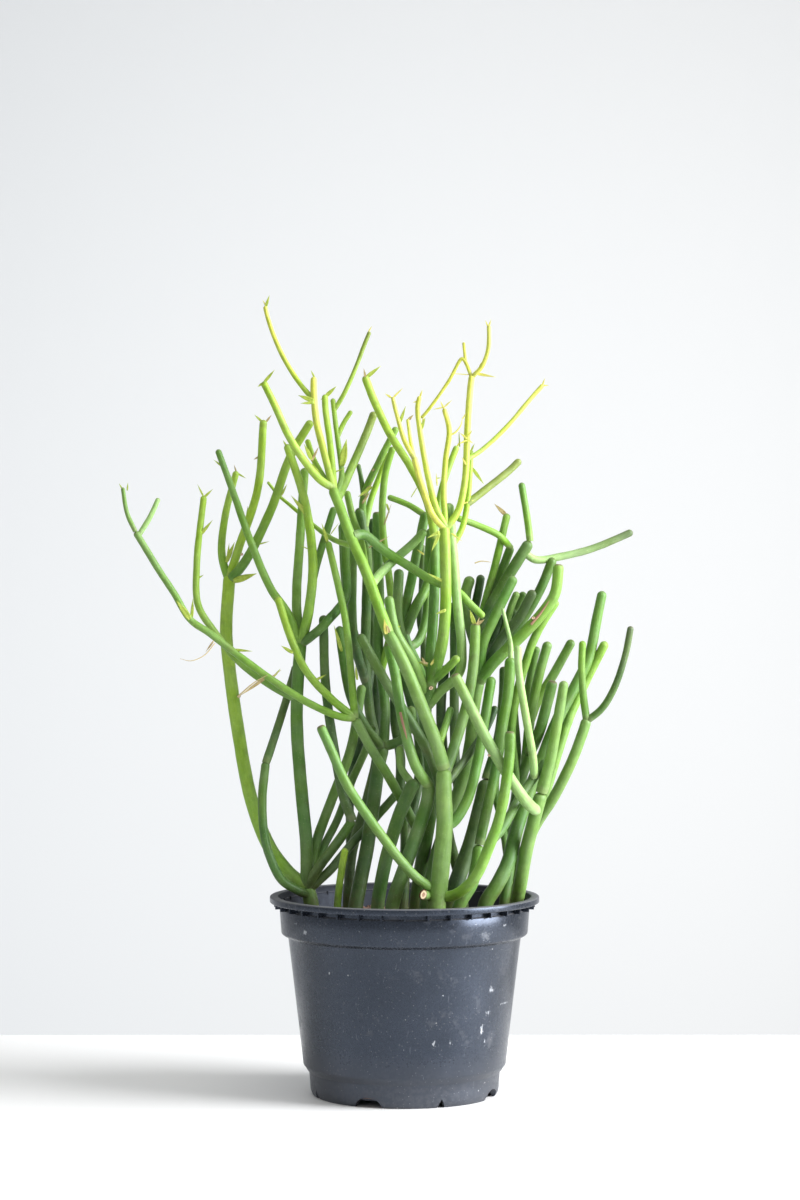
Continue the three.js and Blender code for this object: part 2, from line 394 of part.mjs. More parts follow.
// Each leaf is [its stem, its pencil, its foot, its tip as [x, z], width]. A leaf hangs flat to the
// eye at its foot's depth, and its foot is cut to clear the pencil.
const LEAVES = {
  leaf_broad: ["stem_front", "upright_c", [-38.5, 384, -24.5], [-35.5, 400.5], 4.2],
  leaf_sweep_tip: ["stem_front", "sweep", [-86.4, 435, -52], [-79.5, 443], 1.8],
  leaf_upright_side: ["stem_front", "upright", [-55.5, 424, -31.5], [-65.2, 427.5], 2.6],
  leaf_upright_low: ["stem_front", "upright", [-55.5, 423, -33], [-63.9, 422.5], 1.6],
  leaf_upright_tip: ["stem_front", "upright_b", [-48.7, 426.5, -19], [-41.7, 433], 2.2],
  leaf_yellow_tip: ["stem_front", "yellow", [-85.4, 480.8, -20], [-82.7, 488.8], 1.6],
  leaf_middle_tip: ["stem_front", "middle", [43, 286.5, -38], [40, 296], 2.4],
  leaf_middle_dry: ["stem_front", "middle", [43.6, 286.8, -40], [49, 290], 2],
  leaf_near_side: ["stem_left", "inner_near", [-58.4, 353, -24], [-69.5, 366], 2.6],
  leaf_outer_low: ["stem_left", "outer_c", [-105, 313.5, 8.5], [-90.5, 318.2], 3.8],
  leaf_outer_top: ["stem_left", "outer_b", [-87, 411, 8], [-92, 415.5], 1.4],
  leaf_outer_fork: ["stem_left", "outer_a", [-109.3, 325, 13], [-104, 337.5], 2.6],
  leaf_far_side: ["stem_left", "far_left", [-126, 341, -18], [-117.5, 351], 2],
  leaf_far_tip: ["stem_left", "far_left", [-123.3, 364.5, -17], [-117.5, 370], 1.4],
  leaf_long_outer: ["stem_light_left", "long", [-131.5, 290.3, -41], [-139.7, 301.8], 3.2],
  leaf_long_upper: ["stem_light_left", "long", [-130.5, 290.5, -37], [-129.5, 303], 1.8],
  leaf_long_dry: ["stem_light_left", "long", [-84.5, 254.8, -32], [-100.5, 243.5], 1.8],
  leaf_long_under: ["stem_light_left", "long", [-106, 271.6, -35], [-93, 270.6], 1.6],
  leaf_bright_side: ["stem_light_left", "bright", [-55, 252.6, -28], [-47.8, 256.4], 1.5],
  leaf_light_tip: ["stem_light_left", "light", [-46.8, 336.5, -24], [-50.7, 349], 1.8],
  leaf_fork_left: ["stem_center", "behind", [15.8, 262, -32], [8.3, 264], 2.4],
  leaf_main_low: ["stem_center", "main", [25.4, 296, -44.7], [19.3, 293.4], 1.8],
  leaf_main_high: ["stem_center", "main", [25.3, 312.5, -44.7], [14, 318.5], 1.6],
  leaf_yellow_side: ["stem_center", "yellow_b", [9.6, 405.5, -49.5], [12.8, 414], 2],
  leaf_yellow_left: ["stem_center", "yellow_a_top", [-3.1, 410, -54], [0.8, 421], 1.8],
  leaf_red_tip: ["stem_center", "red_tip", [-24, 438, -23], [-14.5, 445.5], 2.2],
  leaf_curled: ["stem_back_right", "curled_tip", [62.8, 353.5, 8], [55, 361], 2.4],
  leaf_back_dry: ["stem_back_left", "leaning", [-25.3, 366, 10.4], [-19.5, 374.5], 2.2],
};

// A closed geometry as a solid that can be cut and joined.
function solidOf(geometry) {
  geometry.deleteAttribute("normal");
  geometry.deleteAttribute("uv");
  const merged = mergeVertices(geometry, 1e-4);
  return new wasm.Manifold(
    new wasm.Mesh({
      numProp: 3,
      vertProperties: merged.attributes.position.array,
      triVerts: new Uint32Array(merged.index.array),
    }),
  );
}

// A solid as a named mesh in one material.
function meshOf(solid, name, material) {
  const data = solid.getMesh();
  const geometry = new THREE.BufferGeometry();
  geometry.setAttribute("position", new THREE.BufferAttribute(data.vertProperties, 3));
  geometry.setIndex(new THREE.BufferAttribute(data.triVerts, 1));
  const flat = geometry.toNonIndexed();
  flat.computeVertexNormals();
  const mesh = new THREE.Mesh(flat, material);
  mesh.name = name;
  return mesh;
}

// A round outline turned about the pot's axis, from its corners as [radius, height].
function turned(corners, segments) {
  const points = corners.map(([radius, height]) => new THREE.Vector2(radius, height));
  return new THREE.LatheGeometry(points, segments);
}

// The pot's wall in section, up the outside and down the inside.
function potSection() {
  const lipFoot = POT_HEIGHT - LIP_DROP;
  const bodyInside = BODY_FOOT_RADIUS - WALL;
  return [
    [0, 0],
    [FOOT_DISC_RADIUS, 0],
    [FOOT_DISC_RADIUS, FLOOR_RECESS],
    [FOOT_RADIUS - 2 * FOOT_EDGE, FLOOR_RECESS],
    [FOOT_RADIUS - FOOT_EDGE, 0],
    [FOOT_RADIUS, 0],
    [FOOT_RADIUS + FOOT_EDGE, 2 * FOOT_EDGE],
    [SKIRT_RADIUS, SKIRT_HEIGHT],
    [BODY_FOOT_RADIUS, BODY_FOOT_HEIGHT],
    [BODY_TOP_RADIUS, BODY_TOP_HEIGHT],
    [COLLAR_RADIUS - COLLAR_LEAN, COLLAR_FOOT],
    [COLLAR_RADIUS, NECK_HEIGHT],
    [COLLAR_RADIUS - NECK_STEP, NECK_HEIGHT],
    [COLLAR_RADIUS - NECK_STEP, lipFoot],
    [LIP_RADIUS, lipFoot],
    [LIP_RADIUS, POT_HEIGHT],
    [COLLAR_RADIUS + WALL, POT_HEIGHT],
    [COLLAR_RADIUS - 2 * WALL, NECK_HEIGHT],
    [COLLAR_INSIDE, COLLAR_FOOT + WALL / 2],
    [BODY_TOP_RADIUS - WALL, BODY_TOP_HEIGHT + LEDGE_THICKNESS],
    [bodyInside, BODY_FOOT_HEIGHT + WALL],
    [SKIRT_RADIUS - WALL, SKIRT_HEIGHT + WALL],
    [FOOT_RADIUS + FLOOR_MARGIN, FLOOR_TOP],
    [0, FLOOR_TOP],
  ];
}

// A notch through the pot's foot, a rounded arch or a pointed one, cut at an angle from +X.
function footNotch(width, height, degrees, pointed) {
  const outline = new THREE.Shape();
  outline.moveTo(-width / 2, -1);
  outline.lineTo(-width / 2, 0);
  if (pointed) {
    outline.lineTo(0, height);
    outline.lineTo(width / 2, 0);
  } else {
    outline.bezierCurveTo(-width / 2, height, -width / 4, height, 0, height);
    outline.bezierCurveTo(width / 4, height, width / 2, height, width / 2, 0);
  }
  outline.lineTo(width / 2, -1);
  const notch = new THREE.ExtrudeGeometry(outline, {
    depth: NOTCH_LENGTH,
    bevelEnabled: false,
    curveSegments: 4,
  });
  notch.rotateX(Math.PI / 2);
  notch.rotateZ(Math.PI / 2);
  notch.translate(FOOT_RADIUS - NOTCH_LENGTH / 2, 0, 0);
  notch.rotateZ(THREE.MathUtils.degToRad(degrees));
  return solidOf(notch);
}

// One of the small upright webs that stiffen the neck under the lip.
function neckWeb(degrees) {
  const inner = COLLAR_RADIUS - NECK_STEP - WEB_ROOT;
  const outer = LIP_RADIUS - WEB_SETBACK;
  const foot = NECK_HEIGHT - WEB_ROOT;
  const top = POT_HEIGHT - LIP_DROP + WEB_ROOT;
  const web = new THREE.BoxGeometry(outer - inner, WEB_THICKNESS, top - foot);
  web.translate((inner + outer) / 2, 0, (foot + top) / 2);
  web.rotateZ(THREE.MathUtils.degToRad(degrees));
  return solidOf(web);
}

function makePot() {
  const shell = turned(potSection(), POT_SEGMENTS);
  shell.rotateX(Math.PI / 2);
  let pot = solidOf(shell);
  for (let i = 0; i < WEB_COUNT; i++) {
    pot = pot.add(neckWeb((i * 360) / WEB_COUNT));
  }
  for (let i = 0; i < ARCH_PAIRS; i++) {
    const angle = ARCH_START + (i * 360) / ARCH_PAIRS;
    pot = pot.subtract(footNotch(WIDE_ARCH, WIDE_ARCH_HEIGHT, angle, false));
    pot = pot.subtract(footNotch(NARROW_ARCH, NARROW_ARCH_HEIGHT, angle + 45, true));
  }
  return pot;
}

// The route of a pencil in space. A rooted one goes straight down into the soil.
function routeOf(points, rooted) {
  const route = points.map(sight);
  if (rooted) {
    route.unshift(route[0].clone().setZ(SOIL_HEIGHT - ROOT_DEPTH));
  }
  return route;
}

// A route with both of its ends carried on by a little.
function lengthened(route, extra) {
  const [first, second] = route;
  const [last, beforeLast] = [...route].reverse();
  const foot = first.clone().add(first.clone().sub(second).setLength(extra));
  const tip = last.clone().add(last.clone().sub(beforeLast).setLength(extra));
  return [foot, ...route.slice(1, -1), tip];
}

// A pencil: a rod of unit radius is extruded along its route, and each ring of its corners is then
// moved out from the middle line to the pencil's own thickness there. A swollen pencil is larger
// by a little all round.
function pencil({ route, footThickness, tipThickness }, swelling = 0) {
  const path = swelling ? lengthened(route, swelling) : route;
  const curve = new THREE.CatmullRomCurve3(path, false, "centripetal");
  const mean = (footThickness + tipThickness) / 2;
  const sides = mean < THIN_PENCIL ? THIN_SIDES : SIDES;
  const steps = Math.max(2, Math.round(curve.getLength() / (RING_STEP * mean)));
  const section = [];
  for (let i = 0; i < sides; i++) {
    const angle = (i * 2 * Math.PI) / sides;
    section.push(new THREE.Vector2(Math.cos(angle), Math.sin(angle)));
  }
  const rod = new THREE.ExtrudeGeometry(new THREE.Shape(section), {
    steps,
    bevelEnabled: false,
    extrudePath: curve,
  });
  const centres = curve.getSpacedPoints(steps);
  const corners = rod.getAttribute("position");
  const corner = new THREE.Vector3();
  for (let i = 0; i < corners.count; i++) {
    corner.fromBufferAttribute(corners, i);
    const gaps = centres.map((centre) => centre.distanceToSquared(corner));
    const ring = gaps.indexOf(Math.min(...gaps));
    const thickness = THREE.MathUtils.lerp(footThickness, tipThickness, ring / steps);
    const taper = ring === steps ? TIP_TAPER : 1;
    corner.sub(centres[ring]).multiplyScalar((thickness * taper) / 2 + swelling);
    corner.add(centres[ring]);
    corners.setXYZ(i, corner.x, corner.y, corner.z);
  }
  return solidOf(rod);
}

// The measures of a stem's pencil.
function pencilOf(stem, wanted) {
  const [, parent, footThickness, tipThickness, points] = STEMS[stem].find(([name]) => name === wanted);
  return { route: routeOf(points, parent === ""), footThickness, tipThickness };
}

function makeStem(stem) {
  const [trunk, ...branches] = STEMS[stem].map(([name]) => pencil(pencilOf(stem, name)));
  return branches.reduce((whole, branch) => whole.add(branch), trunk);
}

// The soil, with a socket round the foot of each stem.
function makeSoil() {
  const inside = COLLAR_INSIDE - CLEARANCE;
  const column = turned(
    [
      [0, FLOOR_TOP + CLEARANCE],
      [FOOT_RADIUS + FLOOR_MARGIN - CLEARANCE, FLOOR_TOP + CLEARANCE],
      [SKIRT_RADIUS - WALL - CLEARANCE, SKIRT_HEIGHT + WALL],
      [BODY_FOOT_RADIUS - WALL - 2 * CLEARANCE, BODY_FOOT_HEIGHT + WALL],
      [BODY_TOP_RADIUS - WALL - CLEARANCE, BODY_TOP_HEIGHT + LEDGE_THICKNESS + CLEARANCE],
      [inside - CLEARANCE, COLLAR_FOOT + LEDGE_THICKNESS + CLEARANCE],
      [inside, SOIL_HEIGHT - SOIL_EDGE_DROP],
      [0, SOIL_HEIGHT],
    ],
    POT_SEGMENTS,
  );
  column.rotateX(Math.PI / 2);
  let soil = solidOf(column);
  for (const stem of Object.keys(STEMS)) {
    soil = soil.subtract(pencil(pencilOf(stem, "trunk"), CLEARANCE));
  }
  return soil;
}

// A leaf: a thin blade from its foot to its tip, cut back from the pencil that bears it.
function makeLeaf([stem, pencilName, foot, [tipX, tipZ], width]) {
  const base = sight(foot);
  const tip = sight([tipX, tipZ, foot[2]]);
  const length = base.distanceTo(tip);
  const outline = new THREE.Shape();
  outline.moveTo(0, -width * LEAF_FOOT);
  outline.quadraticCurveTo(length * LEAF_WIDEST, -width * LEAF_BULGE, length, 0);
  outline.quadraticCurveTo(length * LEAF_WIDEST, width * LEAF_BULGE, 0, width * LEAF_FOOT);
  const blade = new THREE.ExtrudeGeometry(outline, {
    depth: LEAF_THICKNESS,
    bevelEnabled: false,
    curveSegments: 3,
  });
  blade.translate(0, 0, -LEAF_THICKNESS / 2);
  blade.rotateX(Math.PI / 2);
  blade.rotateY(-Math.atan2(tip.z - base.z, tip.x - base.x));
  blade.translate(base.x, base.y, base.z);
  return solidOf(blade).subtract(pencil(pencilOf(stem, pencilName), CLEARANCE));
}

const plastic = new THREE.MeshStandardMaterial({ color: "#2f3034", roughness: 0.5, metalness: 0 });
const peat = new THREE.MeshStandardMaterial({ color: "#6d5046", roughness: 1, metalness: 0 });
const leafSkin = new THREE.MeshStandardMaterial({ color: "#a9b45c", roughness: 0.6, metalness: 0 });

const pottedCactus = new THREE.Group();
pottedCactus.name = "potted_pencil_cactus";
pottedCactus.add(meshOf(makePot(), "pot", plastic));
pottedCactus.add(meshOf(makeSoil(), "soil", peat));

const stems = new THREE.Group();
for (const [stem, colour] of Object.entries(STEM_COLOURS)) {
  const skin = new THREE.MeshStandardMaterial({ color: colour, roughness: 0.5, metalness: 0 });
  stems.add(meshOf(makeStem(stem), stem, skin));
}
pottedCactus.add(stems);

const leaves = new THREE.Group();
for (const [name, leaf] of Object.entries(LEAVES)) {
  leaves.add(meshOf(makeLeaf(leaf), name, leafSkin));
}
pottedCactus.add(leaves);

export default pottedCactus;
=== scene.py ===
import math

import bmesh
import bpy
import numpy as np
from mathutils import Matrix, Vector, noise


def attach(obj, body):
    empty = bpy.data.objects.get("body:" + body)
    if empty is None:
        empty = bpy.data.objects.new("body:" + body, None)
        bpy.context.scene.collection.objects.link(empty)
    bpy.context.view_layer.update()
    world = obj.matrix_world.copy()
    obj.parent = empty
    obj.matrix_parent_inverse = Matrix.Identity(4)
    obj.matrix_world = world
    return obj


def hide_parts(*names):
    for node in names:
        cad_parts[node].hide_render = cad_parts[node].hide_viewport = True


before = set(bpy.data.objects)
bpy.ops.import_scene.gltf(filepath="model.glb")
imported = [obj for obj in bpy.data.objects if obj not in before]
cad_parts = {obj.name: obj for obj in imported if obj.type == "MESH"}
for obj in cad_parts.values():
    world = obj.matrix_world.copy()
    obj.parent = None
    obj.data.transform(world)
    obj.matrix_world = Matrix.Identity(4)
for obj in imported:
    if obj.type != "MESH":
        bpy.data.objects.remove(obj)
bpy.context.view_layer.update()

MM = 0.001

# Where the photograph's eye stands, in millimetres. Routes are written as that eye sees them, on
# the upright plane through the pot's axis, as (x, z, depth), depth being how far behind it they lie.
EYE_X = -2.76
EYE_DISTANCE = 1737
EYE_HEIGHT = 302
LENS = 85
FILM = 36

# The pot.
POT_HEIGHT = 121
LIP_RADIUS = 82.5
LIP_DROP = 3.7
COLLAR_RADIUS = 76.6
COLLAR_FOOT = 98.5
COLLAR_INSIDE = 74.4
NECK_HEIGHT = 114.2
NECK_STEP = 1.1
BODY_TOP_RADIUS = 71.3
BODY_TOP_HEIGHT = 96.5
BODY_FOOT_RADIUS = 62
BODY_FOOT_HEIGHT = 18.5
SKIRT_RADIUS = 58.5
SKIRT_HEIGHT = 14.5
FOOT_RADIUS = 56
FOOT_EDGE = 1.5
FOOT_DISC_RADIUS = 24
FLOOR_RECESS = 3.5
FLOOR_TOP = 5
WALL = 1
WEB_COUNT = 36
WEB_THICKNESS = 0.8
WEB_SETBACK = 2.6
NOTCH_COUNT = 8
ARCH_START = -22.5
ARCH_HALF = 8
ARCH_SHOULDER = 1.5
ARCH_RISE = 4.5
POT_SEGMENTS = 192

# The soil, and the loose crumbs on it. Its top rises by (height, size across, layer of the noise).
SOIL_HEIGHT = 107
CLEARANCE = 0.3
SOIL_SEGMENTS = 220
SOIL_RINGS = 60
SOIL_LUMPS = ((1.4, 22, 3.1), (0.9, 7, 8.4), (0.45, 2.2, 1.7))
CRUMB_SIZES = {"Density": 42000.0, "Smallest": 0.35 * MM, "Largest": 1.25 * MM, "Seed": 5}

# How the pencils and the thin stalks are swept: the step along their routes, the rings that round a
# tip, and what the geometry nodes are given.
PENCIL_STEP = 1.8
PENCIL_SIZES = {"Sides": 16, "Lump": 0.35 * MM}
HAIR_STEP = 0.8
HAIR_SIZES = {"Sides": 8, "Lump": 0.1 * MM}
ROOT_DEPTH = 7
TIP_RINGS = 6
DRY_TIP_FLATNESS = 0.45
LIVE_TIP_BROWN = 0.35

# A rooted pencil's skin shows no joint, as if its foot were this far away. A pencil's skin starts on
# its map a stride further on for each point of the pencils before it, within a span.
NO_JOINT = 99
GRAIN_STRIDE = 1000
GRAIN_SPAN = 977

# The pencils' skins, from new growth to old wood; the darkest green is painted shade, given to pencils that
# stand in shade inside the crown.
TONES = {
    "yellow": "#e6e45c",
    "lime": "#a5c834",
    "fresh": "#82b030",
    "green": "#588b27",
    # Painted shade: the green of pencils in the crown's shade, darker than their skin.
    "moss": "#447020",
    "deep": "#2c511a",
    "sage": "#729a44",
    "pale": "#a6ca82",
    "olive": "#859434",
    "slate": "#475e2f",
}

# Each pencil is (name, the pencil it grows from, thickness at its foot and at its tip, its tones
# from foot to tip, its route). A stem's first pencil is rooted in the soil.
STEMS = {
    "stem_front": [
        ("trunk", "", 11.6, 9.2, "sage", [(19.5, 113, -50), (21.7, 132, -50), (23.7, 152, -50),
            (24.6, 165, -50), (24, 190, -50), (24.3, 199, -50)]),
        ("stub", "trunk", 5.8, 5.6, "sage", [(19, 119.4, -48), (13, 120.9, -53), (11.6, 121.3, -59.6)]),
        ("cut_low", "trunk", 6, 5.6, "sage green", [(21, 122, -48), (15.5, 126, -50.5), (6.5, 132.5, -56),
            (-5, 145.5, -60), (-15, 158.8, -62), (-25, 172.8, -64), (-36, 190, -66),
            (-45, 210, -68), (-51.7, 225, -69)]),
        ("arc", "trunk", 6.6, 6.3, "fresh green", [(21, 121, -49), (27, 120.2, -51),
            (34, 123, -54.5), (43.9, 133, -59), (52.3, 152, -61), (57.2, 165, -61),
            (61.5, 185, -60), (64.3, 207, -58), (64.8, 221.5, -58)]),
        ("left", "trunk", 8.2, 7, "sage", [(24, 199, -50), (18.8, 216, -55), (10.5, 237, -59),
            (1.8, 258, -60), (-6.8, 276, -59), (-11, 283, -57)]),
        ("left_high", "left", 6.8, 6, "fresh", [(-9.5, 280.5, -57.3), (-17.3, 302, -53),
            (-24.7, 322, -47), (-32.7, 340, -42), (-40, 360, -38), (-44.5, 371, -36)]),
        ("sweep", "left_high", 4.8, 4.2, "lime", [(-44.5, 371, -36), (-52, 376, -40),
            (-61.5, 387.5, -44), (-71.5, 403.5, -48), (-79.6, 421.5, -50), (-86.7, 436, -52)]),
        ("upright", "left_high", 4.6, 3.8, "lime yellow", [(-43.5, 368.5, -36.5), (-45.7, 378, -34),
            (-50, 395, -32), (-54.1, 412, -30), (-55.7, 430, -28), (-55.7, 438.8, -27)]),
        ("upright_b", "left_high", 4, 3.8, "lime", [(-43, 367, -36.5), (-44.2, 384, -28),
            (-46, 401, -24), (-48.5, 419, -20), (-48.9, 428, -19)]),
        ("upright_c", "left_high", 3.6, 3, "green lime", [(-42, 365, -37), (-38.5, 378, -26),
            (-39.7, 391, -20), (-42, 408, -16), (-44, 425.5, -13)]),
        ("twig", "upright_c", 2.8, 2.6, "lime olive", [(-43.2, 418, -14), (-37.3, 428, -13),
            (-30.5, 443, -11), (-24.4, 459, -9), (-21.3, 466.5, -8)]),
        ("right_high", "left_high", 5.4, 4.8, "fresh olive", [(-41, 364, -36), (-36, 375, -24),
            (-29.4, 390, -17), (-21, 410, -12), (-18.5, 417.5, -12)]),
        ("yellow", "upright", 3.2, 2.6, "lime yellow", [(-55.5, 424.5, -28), (-62.7, 432.8, -26),
            (-71.2, 445.3, -24), (-78.7, 460.3, -22), (-84.2, 476.3, -20), (-85.5, 482.3, -20)]),
        ("nub", "left_high", 3.6, 3.4, "fresh lime", [(-44.5, 370, -36), (-50, 378, -30),
            (-55.5, 388, -27), (-59.8, 400.5, -25)]),
        ("sprig", "upright_c", 3, 2.8, "lime", [(-41, 402, -17), (-37.5, 410, -15),
            (-32.5, 418, -14)]),
        ("across", "left_high", 6.2, 4.4, "green fresh", [(-32, 341, -42), (-25, 342, -37),
            (-13.3, 333, -34), (0, 324.5, -32), (17, 314, -30.5), (31.5, 308, -30),
            (41, 298.8, -30), (48.8, 291.3, -30)]),
        ("thread", "left_high", 3.8, 1.8, "fresh lime", [(-31, 336, -43), (-36, 336.3, -34),
            (-46, 340.5, -14), (-56, 348, -4), (-63, 354, 0), (-70, 360, 5), (-77, 366, 8),
            (-84, 374.5, 8)]),
        ("blue", "left_high", 5.5, 5.2, "pale green", [(-20.5, 311, -50), (-15, 318, -38),
            (-8, 325, -30), (6, 337.5, -24), (13, 345, -23)]),
        ("rise", "trunk", 6.4, 6, "green", [(25.5, 163, -49), (31, 167, -47), (39, 181, -41),
            (45, 204, -35), (49.2, 229, -30), (53.5, 255, -26)]),
        ("slant", "trunk", 4.6, 4.4, "deep", [(24.5, 187, -49), (29, 193.5, -41),
            (36.5, 203.5, -31), (50, 223, -20), (56, 237, -16)]),
        ("middle", "trunk", 6.6, 6.2, "moss sage", [(25, 196, -49), (31, 214, -43),
            (38, 237.5, -40), (42.2, 262, -39), (43.5, 287.5, -38)]),
        ("short", "left", 4.6, 4.4, "fresh green", [(20.5, 209, -52), (22, 216, -45),
            (25, 224.5, -40), (28.6, 236.5, -35)]),
        ("under", "arc", 5.6, 5.4, "moss", [(54, 155, -60), (60, 162, -51), (68.5, 177, -35),
            (73, 184.5, -29), (78, 191.3, -26), (82.5, 197.5, -23), (87, 204, -21)]),
        ("pale", "under", 5, 4.6, "pale", [(79.5, 193.5, -27), (78.8, 205, -34), (74.3, 231, -43),
            (70.1, 258, -45), (69.3, 274, -45)]),
    ],
    "stem_right_trunk": [
        ("trunk", "", 8.4, 8, "sage", [(68.8, 115, -4), (71.2, 129, -10), (75, 150, -20),
            (80.4, 171, -25), (84, 184, -27)]),
        ("top", "trunk", 7.4, 5.6, "sage", [(84, 184, -27), (88.8, 202, -29), (93.3, 225, -31),
            (98, 252.5, -33)]),
        ("back_swept", "trunk", 7, 6.4, "pale sage", [(80.5, 173, -27), (77, 176, -38),
            (73, 180.5, -45), (68, 187.7, -48), (57, 205, -54), (47.5, 222, -58), (36, 245.5, -62),
            (30.5, 256.5, -63)]),
    ],
    "stem_right_long": [
        ("trunk", "", 9.5, 6, "moss green", [(49.5, 115, -25), (56.5, 127, -24), (63.4, 141, -20),
            (69, 162, -12), (76, 183, -6), (84.5, 205, 0), (93.5, 228, 6), (104.5, 249, 12),
            (113, 267, 16), (118, 291, 19), (121.5, 307.5, 20)]),
    ],
    "stem_right_outer": [
        ("trunk", "", 7, 6.4, "sage", [(63, 113, 23), (65.2, 119, 23), (70.5, 140, 20),
            (80, 163, 8), (91.5, 181, -2), (102.5, 203, -8), (109.7, 222, -8), (112, 229.5, -8)]),
        ("bright", "trunk", 4.6, 4.4, "green fresh", [(111.7, 228, -8), (109.7, 243, -9),
            (108.6, 262, -9), (109.2, 277, -9)]),
        ("hook", "trunk", 4.4, 4, "moss slate", [(112, 228, -8), (121, 235.5, -10), (129, 249, -12),
            (135.5, 269, -14), (138.8, 286, -15)]),
        ("inner", "trunk", 6, 5.6, "sage fresh", [(81, 165, 7.5), (88.5, 190, 8), (94.5, 210, 10.5),
            (101.5, 231, 14), (111, 252, 18.5), (123.5, 276.5, 16)]),
    ],
    "stem_right_back": [
        ("trunk", "", 6.5, 6.5, "moss", [(61, 116, 10), (64.3, 138, 12), (64.5, 162, 14),
            (70, 186, 14), (76.5, 208, 12)]),
        ("near", "trunk", 7, 6.6, "moss green", [(76.5, 208, 12), (82.5, 221, 6), (87.8, 240, 2),
            (91, 252.5, 0)]),
        ("mid", "trunk", 6.3, 6, "green sage", [(74.5, 203, 13), (77, 229, 16), (82.5, 256, 15),
            (88.2, 276.5, 13)]),
        ("rear", "mid", 5, 4.8, "moss green", [(76.5, 224, 17), (75, 240, 22), (79, 264, 23),
            (81.3, 273.5, 23)]),
        ("fan", "mid", 6, 5.6, "fresh green", [(77, 228, 16), (81.5, 240, 22), (92, 257.5, 27),
            (103, 277.5, 29)]),
        ("thin", "trunk", 4.5, 4.3, "moss", [(66.5, 174, 14), (69.5, 203, 18), (68, 228, 17),
            (67, 241, 16)]),
        ("lit", "trunk", 5.6, 5.2, "green fresh", [(69.5, 184, 14), (67, 204, 10), (65.5, 222, 6),
            (68.5, 243, 4), (74.5, 264, 3), (78.5, 276, 2), (84, 287, 1), (93.5, 302, 0)]),
        ("low", "trunk", 5, 4.6, "green", [(64, 128, 11), (63, 145, 12), (60, 165, 12),
            (56, 182, 12), (56, 195, 12), (57, 215, 10)]),
    ],
    "stem_dark_right": [
        ("trunk", "", 10, 9.4, "deep", [(27.5, 114, -26), (32.2, 130, -25), (39.7, 150, -22),
            (45.3, 170, -18), (50.5, 192, -14)]),
        ("top", "trunk", 7, 6.2, "moss deep", [(50.5, 192, -14), (58, 218, -6), (60.8, 244, 3),
            (61.2, 261, 6)]),
    ],
    "stem_right_near": [
        ("trunk", "", 8.5, 7, "green", [(33, 113, -38), (42, 130, -37), (45.8, 152, -35)]),
        ("top", "trunk", 6, 6.8, "moss green", [(45.8, 152, -35), (50.8, 175, -33), (56, 198, -30),
            (59.5, 222, -28), (63.5, 246, -26), (65, 267, -26)]),
        ("spike", "top", 3.2, 2, "pale", [(65, 265, -26), (65, 275, -26), (61.5, 291, -27),
            (60, 297, -27)]),
    ],
    "stem_dark_diagonal": [
        ("trunk", "", 6.4, 6, "deep moss", [(36, 115, 5), (34, 130, 0), (27.5, 156, -11),
            (22, 187, -26), (17, 203, -33), (6, 224, -34), (-4, 239.5, -34), (-16, 259.5, -32),
            (-27.8, 281, -30)]),
    ],
    "stem_center": [
        ("trunk", "", 9, 7.4, "moss", [(7, 114, 12), (10.5, 140, 6), (15.5, 170, -6),
            (17, 185, -12), (15.5, 205, -18), (12.8, 225, -24), (13.5, 240, -28), (17, 252, -31)]),
        ("main", "trunk", 7, 6.6, "green lime", [(15.6, 248.5, -30.2), (22.4, 272, -37),
            (25, 295, -41), (25.1, 325, -43), (24.4, 348, -43)]),
        ("beside", "trunk", 6, 5.8, "sage pale", [(13.5, 236, -27), (21, 245, -30),
            (33.5, 257.5, -34), (35, 273, -36), (32.5, 298, -37), (30.3, 324, -37),
            (27.2, 361.5, -37)]),
        ("behind", "trunk", 6.4, 6, "green", [(16.8, 251, -31), (15.8, 265, -29), (17.3, 287, -24),
            (18.6, 315, -21), (18.5, 343, -19)]),
        ("left_a", "trunk", 6.2, 5.8, "sage", [(14, 243, -28), (4, 266, -40), (-5.5, 283, -45),
            (-10, 304.5, -46)]),
        ("left_b", "trunk", 6.3, 6, "sage moss", [(13.5, 245, -28), (3, 267, -22), (-3.7, 288, -22),
            (-3.4, 321, -22)]),
        ("left_c", "trunk", 6.2, 5.8, "green", [(14, 247, -29), (8, 262, -18), (-0.3, 283, -13),
            (5, 318, -13), (13, 356, -10)]),
        ("stub_left", "left_c", 3.8, 3.6, "fresh", [(12.6, 354, -10), (2, 360.5, -9),
            (-10.3, 365.3, -8)]),
        ("step", "left_c", 5.5, 5.2, "green sage", [(2.5, 273, -15), (8, 276.5, -9),
            (13.4, 292, -4), (14.3, 320, -2), (16, 346, 0)]),
        ("lean", "left_c", 6.5, 6, "moss fresh", [(0, 281, -13), (6, 296, -15), (14, 311, -9),
            (19, 331, -6), (19.5, 342, -5)]),
        ("bright", "main", 5, 4.8, "green fresh", [(17.5, 252, -31), (26, 260, -43),
            (33, 267.3, -49)]),
        ("red_tip", "behind", 4.6, 4.8, "lime", [(18.5, 340, -20), (13.5, 363, -31), (4, 383, -30),
            (-8.5, 403, -27), (-19, 425, -24), (-24.5, 439.5, -22)]),
        ("yellow_a", "main", 4.3, 3.4, "yellow", [(25.7, 345, -43), (17.5, 354, -47),
            (10.7, 372, -50), (5.7, 390, -52)]),
        ("yellow_a_top", "yellow_a", 3.2, 2.4, "yellow", [(5.9, 389, -52), (0, 400, -53),
            (-5.3, 418, -54), (-7.3, 426.5, -54)]),
        ("yellow_a_side", "yellow_a", 2.4, 2, "yellow", [(5.9, 389, -52), (3.7, 400, -51),
            (1.9, 413, -51)]),
        ("yellow_b", "main", 4.2, 2.8, "lime yellow", [(25.6, 346, -43), (19.5, 358, -47),
            (14.5, 377, -49), (9.4, 406, -49), (8, 420, -49), (9.3, 427, -49)]),
